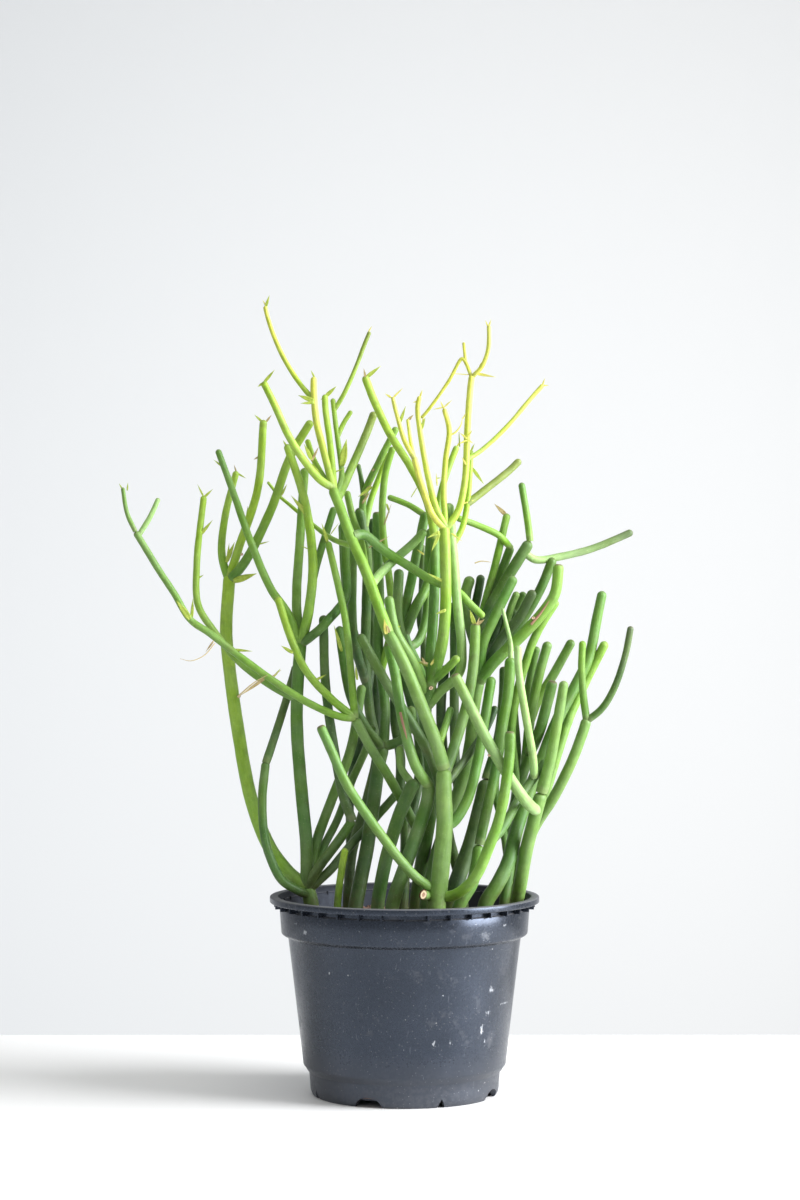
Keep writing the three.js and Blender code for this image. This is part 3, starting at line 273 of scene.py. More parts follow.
        ("yellow_c", "main", 3.8, 3, "lime yellow", [(25.6, 345, -43), (24, 366, -41),
            (25.3, 389, -39), (27.4, 406, -38), (24.2, 419.5, -38)]),
        ("yellow_d", "main", 4.4, 3.6, "lime yellow", [(25.6, 346, -43), (33, 357, -41),
            (37, 375, -39), (38.6, 408, -36), (40.2, 431, -34), (41.3, 440, -33)]),
        ("wire_left", "yellow_d", 2.2, 2, "yellow", [(41.2, 438.5, -33), (37, 448.5, -33),
            (35.3, 450, -33), (27, 436, -31), (15, 419, -29), (10.3, 413.5, -28)]),
        ("wire_right", "yellow_d", 2.8, 2.4, "yellow", [(41.2, 438.5, -33), (47.3, 445, -35),
            (51.3, 456, -37), (51.7, 470.5, -38)]),
        ("wire_top", "wire_left", 1.9, 1.7, "yellow", [(37.6, 446.5, -33), (36.2, 460, -33)]),
        ("yellow_e", "beside", 3.6, 3.4, "lime", [(29.4, 335, -37), (35.3, 346, -35),
            (38.7, 363, -32), (40.7, 394, -29)]),
        ("olive", "yellow_e", 4.6, 4.4, "olive", [(38.5, 361, -32), (50, 370, -26), (65, 382, -19),
            (71, 388, -17)]),
        ("far_twig", "yellow_d", 2.8, 2.6, "lime yellow", [(38.2, 388, -38), (47, 393.7, -33),
            (62, 407.5, -27), (77, 425, -21), (85, 434, -18)]),
        ("yellow_f", "behind", 4, 3.8, "fresh lime", [(18.5, 341, -19), (21.8, 366, -16),
            (28.5, 387, -12), (32.3, 396.5, -10)]),
    ],
    "stem_back_right": [
        ("trunk", "", 8, 7.4, "moss sage", [(13, 114, -10), (18.5, 142, -2), (27, 168, 5),
            (34.5, 189, 6), (40, 212, 4), (43, 239, 2), (46, 254, 0)]),
        ("front_slant", "trunk", 7.4, 6.6, "green fresh", [(45.7, 252, 0), (54.5, 263.5, -5),
            (70, 278.5, -8), (84, 293.3, -10), (92, 305.5, -10), (94.6, 324, -10)]),
        ("rear_slant", "trunk", 6.2, 6, "moss", [(45.5, 252, 1), (54, 268, 8), (70, 286.5, 11),
            (82.5, 307, 11), (91.3, 328, 11)]),
        ("mid_slant", "trunk", 6.2, 6, "deep", [(45.8, 253, 0), (57.5, 275.5, 2), (70, 291, 0),
            (79.3, 308, 0)]),
        ("near_rise", "trunk", 6.5, 6.2, "green", [(46, 254, 0), (47.8, 274, -5), (54, 289, -6),
            (67.4, 316.5, -6)]),
        ("light", "rear_slant", 4.6, 4.4, "sage", [(54.5, 268.5, 8), (60, 280, 13), (66, 299.5, 12),
            (69.3, 307, 11)]),
        ("far_a", "rear_slant", 5, 4.8, "moss green", [(62, 278, 10), (66, 292, 18),
            (73.5, 307, 18)]),
        ("far_b", "rear_slant", 5, 4.8, "moss", [(59, 274, 9), (65, 288, 17), (67.3, 296.5, 17)]),
        ("high", "trunk", 7.4, 6.8, "deep moss", [(45.8, 253, 0), (46, 275, 6), (50.5, 293, 9),
            (60.3, 311, 9), (72, 330, 7), (77, 338, 6)]),
        ("high_top", "high", 4.4, 4.2, "fresh green", [(77, 338, 6), (75.5, 350, 6),
            (71.6, 374, 6)]),
        ("outrigger", "high", 4.8, 4.6, "pale slate", [(73, 331.5, 7), (80, 326.8, 9),
            (95, 328.5, 15), (115, 333.5, 21), (139.8, 343.8, 28)]),
        ("curled_tip", "high", 4.8, 4.6, "green fresh", [(45.8, 268, 4), (45, 280, 12),
            (49.5, 301, 13), (55.5, 323, 11), (63, 355, 8)]),
        ("kink", "high", 6, 5.4, "moss green", [(47, 284, 7.5), (54.5, 307, 16), (62, 326, 15),
            (65.3, 335, 12)]),
        ("crossbar", "kink", 4.2, 4, "fresh", [(65, 334, 12), (58, 341.5, 3), (45, 347.7, -1),
            (31.8, 352.5, -5)]),
        ("fill", "high", 5.5, 5, "deep", [(46.2, 262, 3), (51.5, 272, 12), (56, 282, 14),
            (60, 293, 15)]),
        ("dark_a", "high", 7, 6.8, "deep sage", [(45.8, 268, 4), (40.5, 285, 15), (37.3, 304, 19),
            (40.6, 316.5, 19)]),
        ("dark_b", "high", 5.6, 5.4, "deep", [(46, 270, 5), (42.5, 290, 20), (45.8, 310, 22),
            (47, 317.5, 22)]),
        ("shade_a", "trunk", 6.6, 6, "deep", [(27, 168, 5), (26, 185, 16), (23.5, 210, 22),
            (22.5, 240, 24), (25, 262, 24)]),
        ("shade_b", "trunk", 6.2, 5.4, "deep moss", [(33, 186, 6), (31, 205, 16), (30.5, 235, 20),
            (30.5, 270, 23), (30.5, 301, 23)]),
    ],
    "stem_light_left": [
        ("trunk", "", 6.2, 5.8, "green sage", [(22, 114, 28), (16.5, 141, 21), (8, 160, 12),
            (0, 176, 0), (-10.5, 195, -14), (-20, 210, -20), (-30.5, 229.5, -24)]),
        ("long", "trunk", 4.6, 4, "fresh sage", [(-30.5, 229.5, -24), (-40, 230.7, -27),
            (-60, 239.5, -30), (-80, 252.2, -32), (-100, 266.7, -34), (-120, 282, -36),
            (-131.3, 290, -37), (-141.2, 306, -39), (-151.2, 321.3, -41), (-165, 344, -43)]),
        ("long_top", "long", 3, 2.4, "sage", [(-165, 344, -43), (-170, 355, -44),
            (-172.8, 371, -45)]),
        ("long_side", "long", 3.3, 3.1, "pale", [(-163, 341.5, -42), (-156, 353, -40),
            (-150.7, 364.5, -39)]),
        ("bright", "trunk", 5, 4.6, "fresh lime", [(-30.5, 229.5, -24), (-44.7, 241.3, -27),
            (-60, 258, -27), (-68.7, 276, -27), (-78, 304, -27)]),
        ("light", "trunk", 4.7, 4.2, "fresh", [(-30.5, 229.5, -24), (-33, 260, -24),
            (-36.3, 290, -24), (-40, 308, -24), (-47, 338, -24)]),
    ],
    "stem_mid_left": [
        ("trunk", "", 9.2, 8, "deep moss", [(-30, 113, -8), (-27, 130, -5), (-23, 150, -2),
            (-18.7, 180, 1), (-15.8, 201, 3), (-12.8, 213, 4)]),
        ("dark", "trunk", 6, 5.6, "deep green", [(-13.2, 211, 4), (-24, 224.5, -7), (-33, 243, -10),
            (-38, 270, -12), (-40, 286, -12)]),
        ("tall", "trunk", 6.5, 6, "moss green", [(-12.8, 212, 4), (-12, 235, 7), (-16, 272, 8),
            (-15.4, 300, 8), (-16.3, 330, 8), (-16.7, 356, 8)]),
        ("spur", "trunk", 6, 5.4, "moss", [(-12.8, 212, 4), (-1.5, 216.5, 0), (4.5, 229, 0),
            (3.5, 237, 0)]),
        ("rear", "tall", 5, 4.2, "fresh", [(-14.5, 258, 8), (-7.5, 288, 3), (-9, 312, 2),
            (-13.5, 347, 2), (-12, 378, 0), (-7, 396, -2)]),
    ],
    "stem_back_left": [
        ("trunk", "", 6.4, 6, "slate moss", [(-34.8, 113, 22), (-32, 148, 22), (-22, 183, 24),
            (-17, 208, 25), (-21.5, 235, 28), (-24, 265, 28), (-23.3, 300, 25), (-23, 330, 20),
            (-28, 358.5, 15)]),
        ("outer", "trunk", 5.6, 5.4, "slate green", [(-24, 258, 28), (-33, 290, 27),
            (-36.5, 317, 25), (-38, 349, 23)]),
        ("inner", "trunk", 6, 5.6, "deep green", [(-23.8, 252, 28), (-31, 278, 20), (-32, 320, 15),
            (-31, 337, 14)]),
        ("strip", "trunk", 4.4, 4.2, "fresh", [(-23, 312, 22), (-26.5, 338, 13), (-31.5, 352, 11),
            (-35.5, 369, 10)]),
        ("leaning", "trunk", 4.6, 4.2, "green fresh", [(-22.8, 338, 19), (-25.5, 363, 15),
            (-15, 388, 6), (-4.7, 408, 4)]),
        ("little", "leaning", 3, 2.8, "moss", [(-25.2, 364, 15), (-26.5, 376, 14),
            (-28.5, 385.5, 14)]),
        ("lit", "trunk", 4, 3.6, "fresh lime", [(-24, 347, 17), (-21, 362, 20), (-14.5, 380, 20),
            (-10, 392, 18)]),
        ("deep", "trunk", 5, 4.6, "deep", [(-22.5, 246, 28), (-20, 262, 36), (-19.8, 290, 38),
            (-19.8, 322, 38), (-19.8, 352, 36)]),
        ("shaded", "trunk", 5, 4.6, "deep", [(-17, 208, 25), (-16.5, 222, 33), (-17.5, 245, 36),
            (-16.5, 268, 36)]),
        ("cross", "trunk", 5.4, 5, "deep", [(-33, 140, 22), (-33.5, 165, 30), (-33, 190, 34),
            (-28.5, 210, 36), (-26, 220, 36)]),
    ],
    "stem_back_middle": [
        ("trunk", "", 7, 6.4, "deep moss", [(-1, 113, 24), (0, 135, 26), (0.6, 157, 28),
            (-0.5, 172, 30)]),
        ("top", "trunk", 6.4, 5.6, "moss deep", [(-0.5, 172, 30), (-2.5, 188, 32), (-2.5, 205, 33),
            (-6, 228, 34), (-6, 252, 34)]),
        ("rise", "trunk", 6.4, 6, "deep moss", [(0.5, 158, 28), (6, 178, 33), (9.5, 200, 34),
            (8, 222, 34), (3, 243, 34), (-1.5, 260, 34)]),
        ("column", "rise", 4.5, 4.3, "deep", [(8, 222, 34), (11, 250, 35), (11.8, 275, 36),
            (9.5, 290, 36), (10.8, 310, 36), (11, 336, 36)]),
    ],
    "stem_blue_green": [
        ("trunk", "", 8, 8, "moss", [(-16.5, 114, -30), (-12, 140, -30), (-4, 168, -30),
            (3.2, 185, -30), (6.5, 192, -29)]),
        ("stub", "trunk", 4.6, 4.4, "sage", [(5, 189, -29), (-2, 199, -29), (-2.8, 213, -29)]),
    ],
    "stem_olive": [
        ("trunk", "", 8.6, 8, "moss", [(-7.5, 114, -44), (1, 140.5, -44), (8, 160, -44),
            (14, 179, -44), (15.2, 190, -45)]),
        ("scarred", "trunk", 6.6, 6, "green", [(15, 188, -45), (7, 200, -52), (-1.1, 228, -52),
            (-6, 258, -46), (-10, 275, -44)]),
    ],
    "stem_left": [
        ("trunk", "", 9.5, 8.8, "slate sage", [(-57, 115, -5), (-60, 127, -5)]),
        ("outer", "trunk", 8.5, 7.6, "fresh lime", [(-60, 126, -5), (-71, 135, -2), (-83, 151, 2),
            (-94, 180, 7), (-101.7, 220, 11), (-107.3, 260, 13), (-109.3, 283, 14),
            (-107.2, 318, 14)]),
        ("outer_a", "outer", 5.3, 4, "fresh lime", [(-107.5, 313, 14), (-112, 330, 17),
            (-110, 353, 19), (-103, 381, 20)]),
        ("outer_b", "outer", 5.5, 4.7, "lime", [(-107.3, 316, 14), (-101.6, 334, 13),
            (-90, 370, 10), (-86.4, 412.5, 8)]),
        ("outer_c", "outer", 6, 5, "green lime", [(-107.3, 314, 14), (-98, 325, 6), (-82, 357, 1),
            (-70, 390, -2), (-57, 412, -4)]),
        ("bowed", "trunk", 5.5, 5.3, "moss", [(-58.5, 121, -5), (-64.8, 123.7, -13),
            (-74.9, 130, -17), (-81.3, 141.6, -18), (-85.6, 156, -18), (-87.2, 180, -17),
            (-85, 203, -15)]),
        ("bowed_top", "bowed", 5.2, 4.8, "moss slate", [(-85, 202, -15), (-79, 220, -11),
            (-72.7, 240, -3), (-66.5, 262, 3)]),
        ("inner", "trunk", 8, 7.4, "moss green", [(-60, 126, -5), (-60, 150, -7), (-62.7, 180, -9),
            (-65.8, 220, -10), (-65.8, 245, -11), (-63.5, 278, -11)]),
        ("inner_far", "inner", 5.5, 3.8, "fresh green", [(-63.8, 274, -11), (-71.3, 293.3, -15),
            (-82, 309, -17), (-94.8, 339, -18), (-104.3, 366, -18), (-114.6, 394.3, -18)]),
        ("inner_rise", "inner", 6, 5.2, "sage fresh", [(-63.7, 274, -11), (-66.2, 300, -8),
            (-64, 340, -8), (-61.2, 383, -8)]),
        ("inner_near", "inner", 6.4, 4.8, "fresh lime", [(-63.6, 275, -11), (-58.8, 295, -18),
            (-56.2, 325, -21), (-61.5, 364, -23), (-72.3, 397.5, -25)]),
        ("inner_right", "inner", 5.6, 5.4, "moss green", [(-63.5, 275, -11), (-52, 284, -21),
            (-46.5, 290, -21), (-41, 296, -14), (-36, 304, -8), (-36.1, 325, -6),
            (-37.1, 352, -6)]),
        ("inner_thin", "inner", 4.8, 4.6, "sage green", [(-63.4, 276, -11), (-59.5, 295, -6),
            (-55, 319, -1), (-43, 359, 2)]),
        ("far_left", "inner", 4.8, 4, "green lime", [(-65.8, 241, -11), (-80, 248.5, -16),
            (-100, 263, -16), (-118, 284.5, -16), (-126.5, 299, -17), (-127.3, 325, -17),
            (-123, 366, -17)]),
        ("olive", "trunk", 6.4, 5.8, "moss sage", [(-60, 126, -5), (-54.5, 152, -1),
            (-44.3, 180.5, 1), (-33, 210.5, 2), (-26, 250, 5)]),
        ("narrow", "trunk", 5, 4.8, "moss sage", [(-60, 126, -5), (-51, 148, 3), (-41.3, 167, 10),
            (-31.5, 193, 10), (-23.5, 211, 13), (-19, 225, 10)]),
        ("dark", "trunk", 6.2, 5.8, "slate moss", [(-60, 125, -5), (-54, 136, -10),
            (-38.5, 157, -19), (-31.5, 167.5, -22)]),
        ("dark_top", "dark", 5.8, 5.6, "deep moss", [(-31.8, 166.5, -22), (-37, 180, -22),
            (-43, 210, -19), (-48.4, 250, -16), (-49.7, 292.7, -14)]),
        ("low", "trunk", 5.6, 5.2, "slate moss", [(-59.5, 124, -5), (-46.5, 135.5, -6),
            (-34.4, 150, 1), (-20, 166, 12), (-4, 184, 12)]),
    ],
    "stem_short": [
        ("trunk", "", 4.6, 4.2, "green lime", [(-41, 116, -24), (-38.8, 135, -24),
            (-36.3, 150, -24)]),
    ],
}

LEAVES = {
    "leaf_broad": ((-38.5, 384, -24.5), (-35.5, 400.5), 4.2),
    "leaf_sweep_tip": ((-86.4, 435, -52), (-79.5, 443), 1.8),
    "leaf_upright_side": ((-55.5, 424, -31.5), (-65.2, 427.5), 2.6),
    "leaf_upright_low": ((-55.5, 423, -33), (-63.9, 422.5), 1.6),
    "leaf_upright_tip": ((-48.7, 426.5, -19), (-41.7, 433), 2.2),
    "leaf_yellow_tip": ((-85.4, 480.8, -20), (-82.7, 488.8), 1.6),
    "leaf_middle_tip": ((43, 286.5, -38), (40, 296), 2.4),
    "leaf_middle_dry": ((43.6, 286.8, -40), (49, 290), 2),
    "leaf_near_side": ((-58.4, 353, -24), (-69.5, 366), 2.6),
    "leaf_outer_low": ((-105, 313.5, 8.5), (-90.5, 318.2), 3.8),
    "leaf_outer_top": ((-87, 411, 8), (-92, 415.5), 1.4),
    "leaf_outer_fork": ((-109.3, 325, 13), (-104, 337.5), 2.6),
    "leaf_far_side": ((-126, 341, -18), (-117.5, 351), 2),
    "leaf_far_tip": ((-123.3, 364.5, -17), (-117.5, 370), 1.4),
    "leaf_long_outer": ((-131.5, 290.3, -41), (-139.7, 301.8), 3.2),
    "leaf_long_upper": ((-130.5, 290.5, -37), (-129.5, 303), 1.8),
    "leaf_long_dry": ((-84.5, 254.8, -32), (-100.5, 243.5), 1.8),
    "leaf_long_under": ((-106, 271.6, -35), (-93, 270.6), 1.6),
    "leaf_bright_side": ((-55, 252.6, -28), (-47.8, 256.4), 1.5),
    "leaf_light_tip": ((-46.8, 336.5, -24), (-50.7, 349), 1.8),
    "leaf_fork_left": ((15.8, 262, -32), (8.3, 264), 2.4),
    "leaf_main_low": ((25.4, 296, -44.7), (19.3, 293.4), 1.8),
    "leaf_main_high": ((25.3, 312.5, -44.7), (14, 318.5), 1.6),
    "leaf_yellow_side": ((9.6, 405.5, -49.5), (12.8, 414), 2),
    "leaf_yellow_left": ((-3.1, 410, -54), (0.8, 421), 1.8),
    "leaf_red_tip": ((-24, 438, -23), (-14.5, 445.5), 2.2),
    "leaf_curled": ((62.8, 353.5, 8), (55, 361), 2.4),
    "leaf_back_dry": ((-25.3, 366, 10.4), (-19.5, 374.5), 2.2),
}

# Pencils whose tips died back, and end flat and brown.
DRY_TIPS = {
    ("stem_front", "cut_low"), ("stem_front", "arc"), ("stem_front", "middle"),
    ("stem_right_trunk", "back_swept"), ("stem_right_back", "near"), ("stem_dark_right", "top"),
    ("stem_olive", "scarred"), ("stem_back_right", "front_slant"), ("stem_mid_left", "tall"),
}

# Leaves with no node of their own, by kind: (foot, tip, width).
SMALL_LEAVES = {
    "fresh": [
        ((-80, 255, -33), (-76, 260), 1.2), ((-127, 315, -17), (-123, 317.5), 1.1),
        ((-123, 365, -17), (-127, 373), 1.2), ((-90, 336, 2), (-82.5, 338), 1.0),
        ((-75.5, 366, -1), (-72, 373), 1.4), ((-108.5, 326, 14), (-107.5, 337), 1.6),
        ((-96.5, 351, 12), (-96, 359.5), 1.6), ((-103, 380, 20), (-97, 376.5), 1.2),
        ((-72.5, 396.5, -25), (-74.5, 400), 1.2), ((-87, 435, -52), (-90, 432.5), 1.4),
        ((-55, 438, -27), (-57.5, 443), 1.2), ((-48.5, 427, -19), (-51.5, 424.5), 1.1),
        ((-57, 388, -43), (-61.5, 397.5), 2.4), ((-52, 378, -38), (-57, 386), 2.4),
        ((-45.5, 342, -24), (-40, 349.5), 0.7), ((-45, 379.5, -26), (-35, 383.5), 0.9),
        ((25, 295, -45), (21, 294), 1.0), ((4, 365, -51), (9, 373), 0.7),
        ((-58.5, 333, -23), (-64, 335.5), 0.7), ((-170, 369, -45), (-169.5, 374), 1.0),
        ((-173, 370, -45), (-175, 373.5), 0.9), ((40.6, 393, -29), (43, 398), 1.2),
        ((-112, 384, -18), (-117, 388), 1.2), ((41.6, 382.8, -30), (48.7, 372.9), 2.2),
        ((21.5, 344, -48), (13.7, 339.8), 1.8), ((21.5, 343, -48), (16.4, 331.5), 2.2),
        ((19.4, 376.5, -42), (22.5, 377), 0.8), ((-20, 371.5, 2), (-28.5, 365), 2.4),
        ((-11, 361, 0), (-9, 355), 1.5), ((-68.4, 269.5, -31), (-75.7, 274), 2.3),
        ((-38.5, 270.5, -15), (-43.2, 286.5), 2.4), ((-5.5, 285.2, -47), (-2.2, 286), 1.2),
        ((-29, 253, -30), (-30, 262), 1.8),
    ],
    "new": [
        ((-8, 426, -54), (-12, 428.5), 1.4), ((-7, 426, -54), (-1, 432), 1.2),
        ((8.5, 424, -49), (5, 423), 1.1), ((11.5, 413.5, -29), (11, 409), 1.2),
        ((41, 440, -33), (26, 441), 0.6), ((43, 441, -33), (56, 438.5), 1.8),
        ((46, 445, -35), (48, 448.5), 1.1), ((84.5, 433.5, -18), (86, 438), 1.1),
        ((84.5, 433.5, -18), (88.5, 433.5), 1.0), ((51.5, 469, -38), (53, 474), 1.1),
        ((51.5, 469, -38), (49.5, 473.5), 1.0), ((-84.8, 482, -20), (-87, 486), 1.0),
        ((9.3, 426, -49), (11, 431), 1.2), ((24.2, 419, -38), (22, 424), 1.3),
        ((-22.3, 466, -8), (-20, 470), 1.0), ((32.3, 396, -10), (34.5, 400), 1.1),
        ((23.4, 420, -38), (17.3, 418.8), 0.9), ((24.2, 420, -38), (29, 424.6), 1.0),
        ((35.6, 413, -38.5), (38, 417), 0.9), ((38.2, 401, -39.5), (34, 404.5), 1.3),
        ((38.4, 402, -39.5), (41.5, 406), 1.3), ((38.2, 400, -39.5), (33, 397.5), 1.2),
        ((38.6, 400.5, -39.5), (42, 398), 1.1), ((37.6, 385, -40.5), (35.2, 389.5), 1.2),
        ((39.3, 362, -33), (43, 363.5), 1.1), ((38.8, 362, -34), (35, 360.8), 1.0),
        ((28.6, 343, -45), (35.3, 338), 1.2), ((12, 329.8, -30), (7.6, 333), 1.2),
        ((20, 372, -42), (19.4, 380), 1.0), ((-11.2, 281, -61.4), (-12.4, 290.5), 2.6),
        ((16, 262, -37), (20.5, 268.5), 1.6),
    ],
    "dried": [
        ((-117, 277, -38), (-122, 270), 1.2), ((-89, 390, 9), (-92.5, 388), 1.2),
        ((-85, 411, 8), (-81.5, 415.5), 1.3), ((-103, 380, 20), (-104.5, 385), 1.0),
        ((-57, 387, -42), (-52.5, 396), 1.6), ((-26, 361, 12), (-21, 368.5), 1.6),
        ((-20, 381, 6), (-14, 386), 1.4), ((-12.5, 348, 0), (-8, 361), 1.0),
        ((-22, 334, -36), (-9.5, 341), 1.2), ((2, 412, -51), (5.5, 415.5), 1.8),
        ((44.5, 287, -41), (46, 291.5), 1.0), ((-23.6, 437, -24), (-25, 444), 1.6),
        ((-9.4, 282, -61.4), (-10.8, 287), 2.2), ((14, 263, -37), (9.5, 264.5), 1.7),
        ((12.5, 263.5, -37), (10.5, 267), 1.5),
    ],
}

# The leaves: rows and columns of corners on a blade, and what multiplies the widths in LEAVES.
BLADE_ROWS = 9
BLADE_COLUMNS = 5
LEAF_FULLNESS = 1.15

# The skins of leaves: (name, light and dark colour, roughness, how much light passes through).
LEAF_SKINS = {
    "fresh": ("fresh green leaf", "#b7c65a", "#8ba43c", 0.5, 0.25),
    "new": ("new yellow leaf", "#e3dc7c", "#c9c456", 0.5, 0.3),
    "dried": ("dried papery leaf", "#cbb98a", "#8f7a4c", 0.75, 0.1),
}

# Healed cuts where a pencil or a leaf came off: (place as the eye sees it, half its width and half
# its height in millimetres, how far it is turned to the left, in degrees).
SCARS = [
    ((11.5, 121.3, -60), 2.3, 3.0, 20), ((-101.5, 243, 8), 1.1, 1.1, 0), ((-99.8, 330, 3), 0.9, 0.9, 0),
    ((16.2, 248, -34), 1.5, 1.3, 0), ((79, 291, -13.3), 1.3, 1.0, 0), ((52, 207, -56.5), 1.0, 1.0, 0),
]

# A healed cut's section from its sunken edge to its middle: (share of its width, share of its rise).
SCAR_PROFILE = ((1.0, -1), (1.0, 0), (0.85, 0.5), (0.6, 0.35), (0.3, 0.2))
SCAR_RISE = 0.7
SCAR_SIDES = 24

# Long corky marks on the skin: (places as the eye sees them, thickness).
STREAKS = [
    ([(-2.6, 233.2, -54.3), (-0.9, 226, -55.2), (1.2, 218, -55.5), (3.4, 210, -55.6)], 1.6),
    ([(77.5, 287, -12.5), (83.5, 294, -13), (88.7, 301.5, -13)], 1.8),
]

# Loose curled hairs and dried stalks by kind: (places as the eye sees them, thickness).
HAIRS = {
    "fresh": [([(33.8, 396, -34), (33.4, 405, -34)], 0.9)],
    "new": [([(27.4, 403, -38), (31, 404.6, -38.5), (34.5, 409, -38.5), (35.6, 414, -38.5)], 1.2)],
    "dried": [
        ([(-116.4, 275.3, -38), (-122.9, 268, -41), (-131, 264.7, -43), (-137.6, 266, -43)], 0.7),
        ([(-102, 243, -34), (-92, 251.5, -36), (-84, 256, -35)], 0.9),
        ([(-84, 253, -33), (-75.7, 259, -33)], 0.8),
        ([(43, 324.6, -12), (47, 325.8, -12), (53, 325.2, -12)], 0.8),
    ],
}

# White scuffs and lime specks on the pot: (place as the eye sees it, half width, half height,
# strength).
SCUFFS = [
    ((47.3, 38.6, -46), 1.3, 4.2, 0.62), ((49, 31.8, -42), 0.7, 2.2, 0.5),
    ((53.5, 63.5, -42), 2.6, 3.2, 0.45), ((61.4, 55, -28), 5.5, 0.8, 0.5),
    ((51.2, 48.8, -42), 2.8, 2.4, 0.42), ((17.8, 30.1, -60), 1.8, 2.8, 0.45),
    ((28.5, 30.7, -57), 1.4, 2.2, 0.45), ((-61, 98.1, -46), 1.6, 2.2, 0.5),
    ((-66.6, 103.8, -37), 0.9, 1.2, 0.5), ((-46.2, 73.9, -50), 0.7, 1.6, 0.7),
    ((23.5, 59.6, -61), 0.6, 0.8, 0.9), ((49, 96.4, -57), 5.2, 5.4, 0.16),
    ((61, 103, -44), 2.0, 1.2, 0.35), ((40, 72, -54), 1.0, 0.9, 0.5),
]

# How far a scuff reaches through the wall, so that it also lies on a curved or stepped surface.
SCUFF_DEPTH = 12

# The room in metres: (name, corners, roughness, colour, the greyer colour its left fades to, which is
# painted shade).
STAGE = [
    ("table", [(-3, -2.4, 0), (3, -2.4, 0), (3, 0.23, 0), (-3, 0.23, 0)], 0.6, "#f0f0ef", None),
    ("wall", [(-5, 2.6, -2), (5, 2.6, -2), (5, 2.6, 4), (-5, 2.6, 4)], 0.9, "#f5f6f7", "#eff1f3"),
]

# The lights, in metres and watts: (name, place, target, width, height, power, colour, spread).
LIGHTS = [
    ("window", (1.3, -0.35, 0.7), (0, 0, 0.2), 1.0, 1.3, 17.5, "#fbfcff", 1.5),
    ("ceiling", (0.1, -0.5, 1.9), (0, -0.2, 0), 2.0, 1.4, 12.5, "#fffdf8", math.pi),
    ("wall_wash", (0.15, 1.0, 0.25), (0.15, 2.6, 0.25), 2.2, 2.2, 24, "#fdfdfc", math.pi),
]


def sight(point):
    """The place in metres, at its depth, of what the eye sees at x and z on the upright plane."""
    x, z, depth = point
    spread = 1 + depth / EYE_DISTANCE
    return Vector((EYE_X + (x - EYE_X) * spread, depth, EYE_HEIGHT + (z - EYE_HEIGHT) * spread)) * MM


def linear(colour):
    """An sRGB hex value as linear numbers."""
    parts = [int(colour[i : i + 2], 16) / 255 for i in (1, 3, 5)]
    return (*((c / 12.92 if c <= 0.04045 else ((c + 0.055) / 1.055) ** 2.4) for c in parts), 1.0)


def add(tree, kind, inputs=(), output=0, **settings):
    """Adds a node with its settings and its inputs, by name, number or order, and gives an output."""
    made = tree.nodes.new(kind)
    for name, value in settings.items():
        setattr(made, name, value)
    for name, value in inputs.items() if isinstance(inputs, dict) else enumerate(inputs):
        if isinstance(value, bpy.types.NodeSocket):
            tree.links.new(value, made.inputs[name])
        else:
            is_colour = isinstance(value, str) and value.startswith("#")
            made.inputs[name].default_value = linear(value) if is_colour else value
    return made if output is None else made.outputs[output]


def new_material(name):
    """An empty material: itself, its node tree, and the places on the piece in metres."""
    material = bpy.data.materials.new(name)
    material.use_nodes = True
    tree = material.node_tree
    tree.nodes.clear()
    return material, tree, add(tree, "ShaderNodeTexCoord", output="Object")


def end_material(tree, tone, relief, strength, depth_mm, values):
    """Ends a material in its shader: its tone, a bump from its relief, and its other values."""
    bump = add(tree, "ShaderNodeBump", {"Strength": strength, "Distance": depth_mm * MM, "Height": relief})
    shader = add(tree, "ShaderNodeBsdfPrincipled", {"Base Color": tone, "Normal": bump, **values})
    add(tree, "ShaderNodeOutputMaterial", (shader,), None)


def pattern(tree, place, size_mm, detail=3.0, roughness=0.6, stretch=(1, 1, 1)):
    """Noise whose blotches are about size_mm across, from a place in metres."""
    scale = tuple(s / (size_mm * MM) for s in stretch)
    mapped = add(tree, "ShaderNodeMapping", {"Vector": place, "Scale": scale})
    inputs = {"Vector": mapped, "Scale": 1.0, "Detail": detail, "Roughness": roughness}
    return add(tree, "ShaderNodeTexNoise", inputs)


def coat(tree, tone, colour, value, low, high, thin=0.0, thick=1.0, blend="MIX"):
    """Lays a colour over a tone, from thin to thick as a value goes from low to high."""
    share = add(tree, "ShaderNodeMapRange", (value, low, high, thin, thick))
    return add(tree, "ShaderNodeMix", {0: share, 6: tone, 7: colour}, 2, data_type="RGBA", blend_type=blend)


